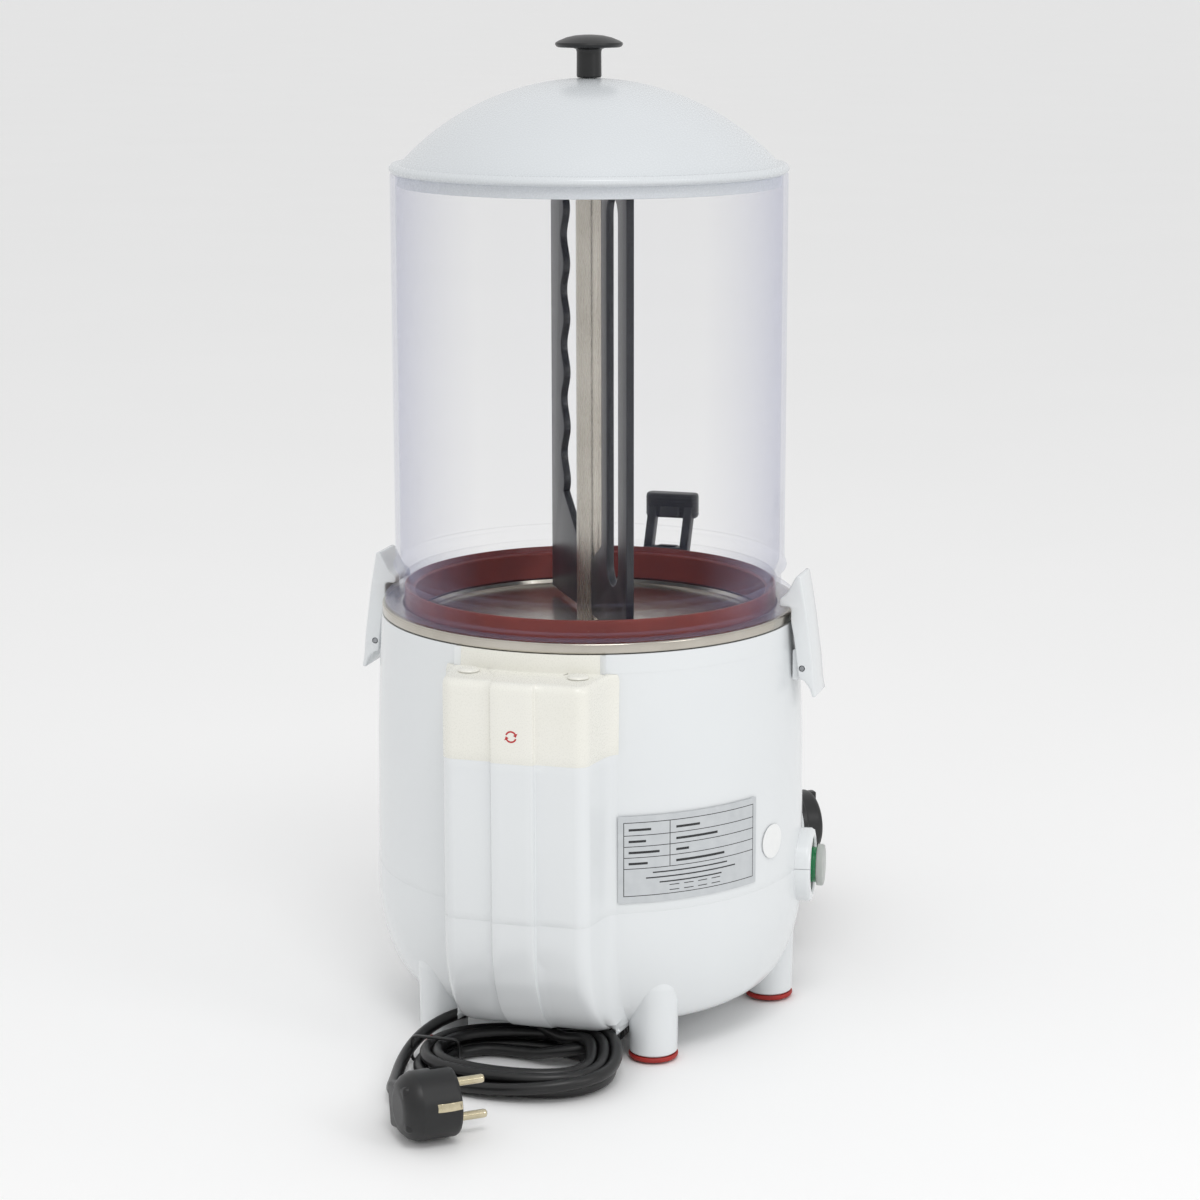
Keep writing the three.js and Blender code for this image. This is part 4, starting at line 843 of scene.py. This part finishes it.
lid_outline = [dome(HOLE_R + (DOME_EDGE - HOLE_R) * k / 32) for k in range(33)]
lid_outline += [(111.2, LID_SEAT + 5.1), (112.4, LID_SEAT + 5.35), (114.4, LID_SEAT + 5.1)]
lid_outline += arc(113.9, LID_SEAT + 2.5, 2.1, 55, -60, 7)
lid_outline += [(114.4, LID_SEAT + 0.05), (111.6, LID_SEAT), (111.3, LID_SEAT - 0.5)]
lid_outline += [(111.3, LID_SEAT - 6.9), (111, LID_SEAT - 7.2), (109.6, LID_SEAT - 7.2)]
lid_outline += [(SKIRT_IN, LID_SEAT - 6.8)]
lid_outline += [dome(SKIRT_IN + (HOLE_R - SKIRT_IN) * k / 24, 2) for k in range(25)]
shown(turned("lid_dome", lid_outline, 192), "lid", ["lid"], "lid_plastic", peel_abs)

K = LID_APEX + CLEAR  # foot of the knob
knob_outline = [(2.7, K), (6.6, K), (7.2, K + 0.8), (7.1, K + 14.6), (7.5, K + 16), (9.4, K + 16.9)]
knob_outline += [(17.8, K + 17.2), (19, K + 17.8), (19.6, K + 18.9), (19.3, K + 19.9), (17.6, K + 20.9)]
knob_outline += [(13, K + 22.8), (8, K + 23.9), (3, K + 24.3), (0, K + 24.4), (0, K + 12), (2.7, K + 12)]
shown(turned("knob", knob_outline, 96), "lid", ["lid_knob"], "black_plastic", black_nylon)
screw_outline = [(0, K - 5.3), (2.6, K - 5.2), (4.2, K - 4.6), (5, K - 3.4), (5, K - 2.6)]
screw_outline += [(2.2, K - 2.6), (2.2, K + 11), (0, K + 11)]
screw = turned("knob_screw", screw_outline, 40, closed=False)
shown(screw, "lid", ["lid_screw"], "zinc_steel", zinc_steel)

# %% [markdown]
# ## Stirrer
# Both paddles are flat nylon blades, cut as plates in the plane of the stirrer.

# %% Stirrer
column_outline = [(5.9, 206.9), (8, 206.9), (8, 494.6), (7.6, 495), (6.2, 495), (5.9, 494.6)]
column = turned("column_tube", column_outline, 72)
shown(column, "root", ["centre_column"], "stainless_steel", brushed_steel)

FOOT, TOP = foot_of("loop_paddle"), top_of("loop_paddle")
STIR = 122.3  # degrees that the paddles stand at
BLADE = 4.5  # thickness of a paddle
WAVE_DEPTH, WAVE_LENGTH = 3.5, 33
loop = [(9.8, FOOT), (85, FOOT), (85, TOP), (13.3, TOP), (13.3, TOP - 10), (32, TOP - 10),
        (32, FOOT + 46), (9.8, FOOT + 34)]
slot_hole = arc(55.5, TOP - 28.5, 11.5, 0, 180, 14) + arc(55.5, FOOT + 38.5, 11.5, 180, 360, 14)
upright = spun(STIR, "Z") @ spun(90, "X")
loop_blade = plate("loop_blade", [rounded(loop, 4), slot_hole], BLADE, 0.7, upright)
shown(loop_blade, "stirrer", ["loop_paddle"], "black_plastic", stirrer_nylon)

wave = [(9.8, FOOT), (80, FOOT), (80, TOP), (13.3, TOP), (13.3, TOP - 10), (46, TOP - 10)]
wave_top, wave_foot, wave_steps = TOP - 16, FOOT + 64, 84
for i in range(wave_steps + 1):
    drop = (wave_top - wave_foot) * i / wave_steps
    wave.append((54 + WAVE_DEPTH * math.cos(2 * math.pi * drop / WAVE_LENGTH), wave_top - drop))
wave.append((9.8, FOOT + 34))
turned_round = spun(STIR + 180, "Z") @ spun(90, "X")
wavy_blade = plate("wavy_blade", [wave], BLADE, 0.7, turned_round)
shown(wavy_blade, "stirrer", ["wavy_paddle"], "black_plastic", stirrer_nylon)

hub_foot, hub_top = foot_of("stirrer_hub"), top_of("stirrer_hub")
hub_outline = [(4.3, hub_foot), (12.6, hub_foot), (13, hub_foot + 0.4), (13, hub_top - 2.2)]
hub_outline += [(12.4, hub_top - 0.8), (11, hub_top), (0, hub_top), (0, TOP - 0.2), (4.3, TOP - 0.2)]
shown(turned("hub", hub_outline, 64), "stirrer", ["stirrer_hub"], "black_plastic", stirrer_nylon)

# %% [markdown]
# ## Latches
# A latch is a moulded hook with two cheeks. It turns on a steel pin and grips the bowl's flange.

# %% Latches
PIVOT_R, PIVOT_Z = 132.5, 217.5
FLANGE_Z = BOWL_FOOT + 3.8
hook = [(118.5, FLANGE_Z + 0.4), (118.5, FLANGE_Z + 4.5), (123, FLANGE_Z + 8), (126, FLANGE_Z + 14),
        (128.5, FLANGE_Z + 18.8)]
back = [(131, 272), (134.9, 249.5), (138.6, 222), (139.8, 208), (141.1, 201), (138.8, 200.5),
        (137.2, 206), (133.5, 210.5), (130.5, 211), (127.4, 236), (125.5, 244.5), (125.5, FLANGE_Z + 0.4)]
pocket = [(120, 199.5), (138, 199.5), (137.5, 209), (136.4, 222), (132.6, 247), (120, 247)]
block = [(126.1, 209.5), (126.1, 228), (129.3, 228), (134.7, 220.1), (136, 217.5), (134.7, 214.9)]
block += [(129.3, 209.5)]
for name, degrees in (("right", 0), ("left", 180)):
    around = spun(degrees, "Z")
    side_on = around @ spun(90, "X")
    at_pivot = around @ moved(PIVOT_R, 0, PIVOT_Z) @ spun(90, "X")
    clip = plate(f"clip_{name}", [rounded(hook + back, 2.2)], 26, 0.9, side_on)
    hollow = plate("pocket_tool", [rounded(pocket, 1)], 21, 0.2, side_on)
    less(clip, hollow, rod("pin_tool", 1.9, 20, 24, at_pivot))
    shown(clip, f"latch_{name}", [f"latch_{name}"], "white_plastic", white_abs)
    bracket = plate(f"pivot_block_{name}", [rounded(block, 1.5)], 19.6, 0.5, side_on)
    shown(bracket, "root", [f"latch_bracket_{name}"], "white_plastic", white_abs)
    pin = turned(f"pivot_pin_{name}", pin_outline(1.6, 13), 32, at_pivot, closed=False)
    shown(pin, "root", [f"latch_pin_{name}"], "zinc_steel", zinc_steel)

# %% [markdown]
# ## Tap
# The tap is a black nylon body with a spout, a cap with two ears and a lever with a ribbed grip.

# %% Tap
TAP_Y = -160
TAP_R = 16
INLET_Z = 194
at_tap = moved(0, TAP_Y, 0)
at_lever_pin = at_tap @ moved(0, -10, 236) @ along_x
barrel_outline = [(6.8, 150), (9.6, 150), (10.5, 151), (10.8, 163), (13.5, 165.4), (15.4, 167)]
barrel_outline += [(TAP_R, 169), (TAP_R, 213.2), (15.4, 214), (12.4, 214), (12, 213.6), (12, 172.4)]
barrel_outline += [(11, 172), (6.8, 172)]
inlet_outline = [(6, 4), (11, 4), (11, 26), (15.4, 26), (16, 26.6), (16, 29.4), (15.4, 30), (11, 30)]
inlet_outline += [(11, 49), (10, 50), (6, 50)]
inlet = turned("inlet", inlet_outline, 64, at_tap @ moved(0, 0, INLET_Z) @ spun(-90, "X"))
barrel = turned("barrel", barrel_outline, 96, at_tap)
shown(joined("tap_barrel", barrel, inlet), "root", ["tap_body"], "black_plastic", black_nylon)

disc_rim = [(3.4, 214.3), (15.6, 214.3), (TAP_R, 214.8), (TAP_R, 218.3), (15, 219.3), (3.4, 219.3)]
cap_disc = turned("cap_disc", disc_rim, 96, at_tap)
side_x = spun(90, "Z") @ spun(90, "X")
ear_outline = [(6, 218.3), (-15, 218.3)] + arc(-10, 236, 5, 180, 0, 12)
pin_hole = arc(-10, 236, 2.3, 0, 350, 20)
ears = []
for x in (-8.75, 8.75):
    ears.append(plate("ear", [ear_outline, pin_hole], 4.5, 0.5, at_tap @ moved(x, 0, 0) @ side_x))
shown(joined("tap_cover", cap_disc, *ears), "root", ["tap_cap"], "black_plastic", black_nylon)

stem_outline = [(0, 172.3), (10, 172.3), (11, 173.8), (11, 176.6), (10.4, 177.3), (3.4, 177.3), (3, 178)]
stem_outline += [(3, 230), (4.2, 230.2), (4.2, 232.6), (3.6, 233), (0, 233)]
stem = turned("valve_stem", stem_outline, 48, at_tap, closed=False)
shown(stem, "tap_plunger", ["tap_plunger"], "red_rubber", brown_silicone)

prong = [(3.5, 227.1), (3.5, 229.5), (-5, 229.5), (-5.5, 239), (-19.5, 273), (-27.5, 271), (-15, 238)]
prong += [(-14, 231), (-5.5, 227.1)]
prongs = plate("prongs", [rounded(prong, 1)], 12.4, 0.6, at_tap @ side_x)
tools = [
    rod("pin_tool", 2.3, 20, 32, at_lever_pin),
    box("fork_tool", (-3.7, 3.7), (-7, 8), (224, 234), at_tap),
    box("gap_tool", (-9.5, 9.5), (-60, 20), (248, 267), at_tap),
]
lever_parts = [less(prongs, *tools)]
leg = [(-6.5, 243.5), (-21, 273), (-29, 271), (-15.5, 243.5)]
for x in (-12, 12):
    lever_parts.append(plate("leg", [rounded(leg, 1)], 5.6, 0.7, at_tap @ moved(x, 0, 0) @ side_x))
lever_parts.append(eased(box("bar", (-14, 14), (-16.5, -8), (243, 248), at_tap), 0.8))
grip_outline = rounded(oblong(-17, 17, -32, -21), 4.4, 8)
lever_parts.append(plate("grip", [grip_outline], 16, 1.6, at_tap @ moved(0, 0, 273)))
rib_outline = rounded(oblong(-17.3, 17.3, -32.3, -20.7), 4.6, 8)
for k in range(6):
    lever_parts.append(plate("rib", [rib_outline], 0.9, 0.3, at_tap @ moved(0, 0, 267.5 + k * 2.1)))
shown(joined("tap_lever", *lever_parts), "tap_handle", ["tap_handle"], "black_plastic", black_nylon)
tap_pin = turned("lever_pin", pin_outline(2, 12), 32, at_lever_pin, closed=False)
shown(tap_pin, "root", ["tap_pin"], "zinc_steel", zinc_steel)

# %% [markdown]
# ## Drip tray and grille
# The tray is a D-shaped black pan whose back follows the body. A slotted steel grille drops into it.

# %% Drip tray and grille
TRAY_HALF = 75
TRAY_BACK = 129.2  # radius of the hollow back
TRAY_FRONT = 257
TRAY_CORNER = 30
SLOT_PITCH = 11


def tray_outline(inset):
    """The tray's outline, or that far inside it."""
    half, back, front = TRAY_HALF - inset, TRAY_BACK + inset, TRAY_FRONT - inset
    corner = TRAY_CORNER - inset
    start = math.degrees(math.asin(half / back))
    points = arc(0, 0, back, -90 + start, -90 - start, 24)
    points += arc(-half + corner, -front + corner, corner, 180, 270, 12)
    points += arc(half - corner, -front + corner, corner, 270, 360, 12)
    return points


tray_floor = plate("tray_floor", [tray_outline(0.5)], 3, 0.8, moved(0, 0, 25.5))
tray_wall = plate("tray_wall", [tray_outline(0), tray_outline(5)], 31.5, 0.5, moved(0, 0, 39.75))
tray_lip = plate("tray_lip", [tray_outline(0), tray_outline(2.5)], 4, 0.6, moved(0, 0, 56))
tray = joined("drip_pan", tray_floor, tray_wall, tray_lip)
shown(tray, "drip_tray", ["drip_tray"], "black_plastic", black_nylon)
slots = []
for k in range(9):
    y = -235 + SLOT_PITCH * k
    slots.append(rounded(oblong(-58, 58, y - 2.6, y + 2.6), 2.5, 5))
grille = plate("slotted_grille", [tray_outline(2.8)] + slots, 2, 0.4, moved(0, 0, 56.3))
shown(grille, "drip_grille", ["drip_grille"], "stainless_steel", spun_steel)

# %% [markdown]
# ## Switch and thermostat knob
# The green button has a frosted splash cap over it. The dial is a black disc with a raised pointer.


# %% Switch and thermostat knob
socket_outline = [(11, 108), (16, 108), (16, 133), (15.2, 134), (11.6, 134), (11, 133.4)]
socket = turned("switch_socket", socket_outline, 72, at_switch)
shown(socket, "root", ["switch_body"], "black_plastic", black_nylon)
button_outline = [(0, 124), (10.7, 124), (10.7, 138.4), (10.2, 139), (0, 139)]
button = turned("green_button", button_outline, 72, at_switch, closed=False)
shown(button, "switch_button", ["switch_button"], "green_plastic", green_pc)
cap_outline = [(11, 137.9), (12.2, 137.9), (12.5, 138.3), (12.5, 140.9), (11.9, 141.8), (11, 142)]
cap_outline += [(0, 142), (0, 139.3), (11, 139.3)]
splash_cap = turned("splash_cap", cap_outline, 72, at_switch)
shown(splash_cap, "switch_button", ["switch_cap"], "clear_silicone", frosted_silicone)

dial_outline = [(3.3, 132.5), (20.8, 132.5), (21.4, 133.1), (21.4, 135.4), (20.6, 136.4), (19.9, 144.6)]
dial_outline += [(19.2, 146.2), (18, 147), (0, 147), (0, 141.5), (3.3, 141.5)]
dial = turned("dial_disc", dial_outline, 96, at_dial)
pointer = rounded(oblong(-3, 3, -19.4, 19.4), 1.4)
pointer_place = at_dial @ moved(0, 0, 145.8) @ spun(90, "Z")
grip = plate("pointer", [pointer], 7.6, 0.9, pointer_place)
shown(joined("dial_knob", dial, grip), "thermostat_knob", ["thermostat_knob"], "black_plastic", black_nylon)

# %% [markdown]
# ## Rating label and round sticker
# The label is a silver film with a printed table. Its rules and its lines of print are left as plain
# bars, so that nothing can be read. The film is a fine grid bent round the body, and a cell that lies
# in a printed bar takes the ink as its material.

# %% Rating label
LABEL_START = math.pi / 2 + math.asin((HALF_W + FLARE + ROOT_GAP) / BODY_R)
LABEL_W, LABEL_H, LABEL_FOOT = 91.2, 51, 99.5
RULE = 0.45  # width of a printed rule
FILM = 0.45
PRINT_ROWS = (43, 36.2, 29.7, 23.2)
rules_x = [3, 30, LABEL_W - 3]
rules_y = [4, 20, 26.5, 33, 39.5, 47]
bars = []  # each as x low, x high, y low, y high
for start, lengths in ((6, (13, 10, 18, 11)), (34, (15, 27, 8, 32))):
    for row, length in zip(PRINT_ROWS, lengths):
        bars.append((start, start + length, row - 0.7, row + 0.7))
bars += [(20, 68, 17, 17.8), (16, 74, 14, 14.8), (24, 64, 11, 11.8)]
for foot in (6, 9):
    bars += [(30 + 9 * k, 36 + 9 * k, foot, foot + 0.5) for k in range(4)]


def printed(x, y):
    """True where the label carries ink."""
    inside = rules_x[0] <= x <= rules_x[-1] + RULE and rules_y[0] <= y <= rules_y[-1] + RULE
    table = y >= rules_y[1]
    upright = any(r <= x <= r + RULE for r in (rules_x[0], rules_x[-1]))
    upright = upright or (table and rules_x[1] <= x <= rules_x[1] + RULE)
    level_rule = any(r <= y <= r + RULE for r in rules_y)
    bar = any(x0 <= x <= x1 and y0 <= y <= y1 for x0, x1, y0, y1 in bars)
    return (inside and (upright or level_rule)) or bar


def stops(edges, size, step):
    """Where the grid's lines lie: on every printed edge, and at least every so many millimetres."""
    values = {0, size}
    values |= {round(v, 3) for v in edges if 0 < v < size}
    values |= {round(k * step, 3) for k in range(1, int(size / step) + 1)}
    return sorted(values)


xs = stops([v for r in rules_x for v in (r, r + RULE)] + [v for b in bars for v in b[:2]], LABEL_W, 3)
ys = stops([v for r in rules_y for v in (r, r + RULE)] + [v for b in bars for v in b[2:]], LABEL_H, 6)
label_points = []
for radius in (BODY_R + CLEAR + FILM, BODY_R + CLEAR):
    for x in xs:
        turn = LABEL_START + x / BODY_R
        label_points += [(radius * math.cos(turn), radius * math.sin(turn), LABEL_FOOT + y) for y in ys]
columns, lines = len(xs), len(ys)
label_faces, inked = [], []
for side in (0, 1):
    for i in range(columns - 1):
        for j in range(lines - 1):
            a = side * columns * lines + i * lines + j
            face = (a, a + lines, a + lines + 1, a + 1)
            label_faces.append(face if side == 0 else face[::-1])
            middle = ((xs[i] + xs[i + 1]) / 2, (ys[j] + ys[j + 1]) / 2)
            inked.append(side == 0 and printed(*middle))
rim = [i * lines for i in range(columns)] + [(columns - 1) * lines + j for j in range(1, lines)]
rim += [i * lines + lines - 1 for i in range(columns - 2, -1, -1)] + list(range(lines - 2, 0, -1))
for k, a in enumerate(rim):
    b = rim[(k + 1) % len(rim)]
    label_faces.append((a, a + columns * lines, b + columns * lines, b))
    inked.append(False)
label_mesh = bpy.data.meshes.new("rating_film")
label_mesh.from_pydata(label_points, [], label_faces)
label = placed("rating_film", label_mesh)
shown(label, "root", ["rating_label"], "label_film", foil, ink)
for polygon, is_ink in zip(label.data.polygons, inked):
    polygon.material_index = 1 if is_ink else 0

# %% Round sticker
STICKER_Z = 120
RINGS, RING_STEP = 5, 2
DOT_STEPS = 48
sticker_turn = LABEL_START + (LABEL_W + 17) / BODY_R
dot = []
for radius in (BODY_R + CLEAR, BODY_R + CLEAR + FILM):
    for ring in range(RINGS + 1):
        for k in range(DOT_STEPS):
            a = 2 * math.pi * k / DOT_STEPS
            turn = sticker_turn + RING_STEP * ring * math.cos(a) / BODY_R
            height = STICKER_Z + RING_STEP * ring * math.sin(a)
            dot.append((radius * math.cos(turn), radius * math.sin(turn), height))
dot_faces = []
one_side = (RINGS + 1) * DOT_STEPS
for side in (0, 1):
    for ring in range(RINGS):
        for k in range(DOT_STEPS):
            a = side * one_side + ring * DOT_STEPS + k
            b = side * one_side + ring * DOT_STEPS + (k + 1) % DOT_STEPS
            dot_faces.append((a, b, b + DOT_STEPS, a + DOT_STEPS))
outer_ring = RINGS * DOT_STEPS
for k in range(DOT_STEPS):
    a, b = outer_ring + k, outer_ring + (k + 1) % DOT_STEPS
    dot_faces.append((a, b, b + one_side, a + one_side))
shown(made("paper_dot", dot, dot_faces), "root", ["round_sticker"], "white_paper", paper)

# %% [markdown]
# ## Pieces inside
# What is hidden in the body keeps its CAD shape and only gets its real finish.

# %% Pieces inside
inside = {
    zinc_steel: [
        "heating_element", "gear_motor", "chassis", "drive_shaft", "tap_spring", "tap_nut", "thermostat",
    ],
    brushed_steel: ["water_jacket"],
    grey_silicone: ["drain_elbow"],
    brown_silicone: ["tap_gasket"],
    black_nylon: ["reset_thermostat"],
    red_rubber: ["reset_button"],
}
for material, names in inside.items():
    for name in names:
        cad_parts[name].data.materials.clear()
        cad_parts[name].data.materials.append(material)
print("pieces inside:", sum(len(names) for names in inside.values()))

# %% [markdown]
# ## Floor and light
# A pale floor and two large soft lights, one high behind the machine and one at its side. The world is
# plain white, like a light tent.


# %% Floor and light
def soft_light(name, at, target, size, power):
    """A round lamp of that size in metres, turned to its target."""
    data = bpy.data.lights.new(name, "AREA")
    data.shape = "DISK"
    data.size = size
    data.energy = power
    lamp = placed(name, data)
    lamp.location = at
    lamp.rotation_euler = (Vector(target) - Vector(at)).to_track_quat("-Z", "Y").to_euler()


FLOOR_REACH, FLOOR_Z = 60, -0.001  # in metres
corners = oblong(-FLOOR_REACH, FLOOR_REACH, -FLOOR_REACH, FLOOR_REACH)
floor_mesh = bpy.data.meshes.new("floor")
floor_mesh.from_pydata([(x, y, FLOOR_Z) for x, y in corners], [], [(0, 1, 2, 3)])
floor_mesh.materials.append(finish("pale_floor", "#fdfdfd", "#fafafa", 400, 3, 0.005, 0.6))
floor = placed("floor", floor_mesh)

world = bpy.data.worlds.new("studio")
world.use_nodes = True
world.node_tree.nodes["Background"].inputs["Color"].default_value = (1, 1, 1, 1)
world.node_tree.nodes["Background"].inputs["Strength"].default_value = 0.8
bpy.context.scene.world = world
LIT_POINT = (0, 0, 0.25)
soft_light("key", (-0.6, 1.3, 2.3), LIT_POINT, 0.9, 13)
soft_light("side", (-2.0, 0.9, 1.2), LIT_POINT, 0.8, 5)
bpy.context.scene.view_settings.view_transform = "Standard"
print("lights:", len(bpy.data.lights))
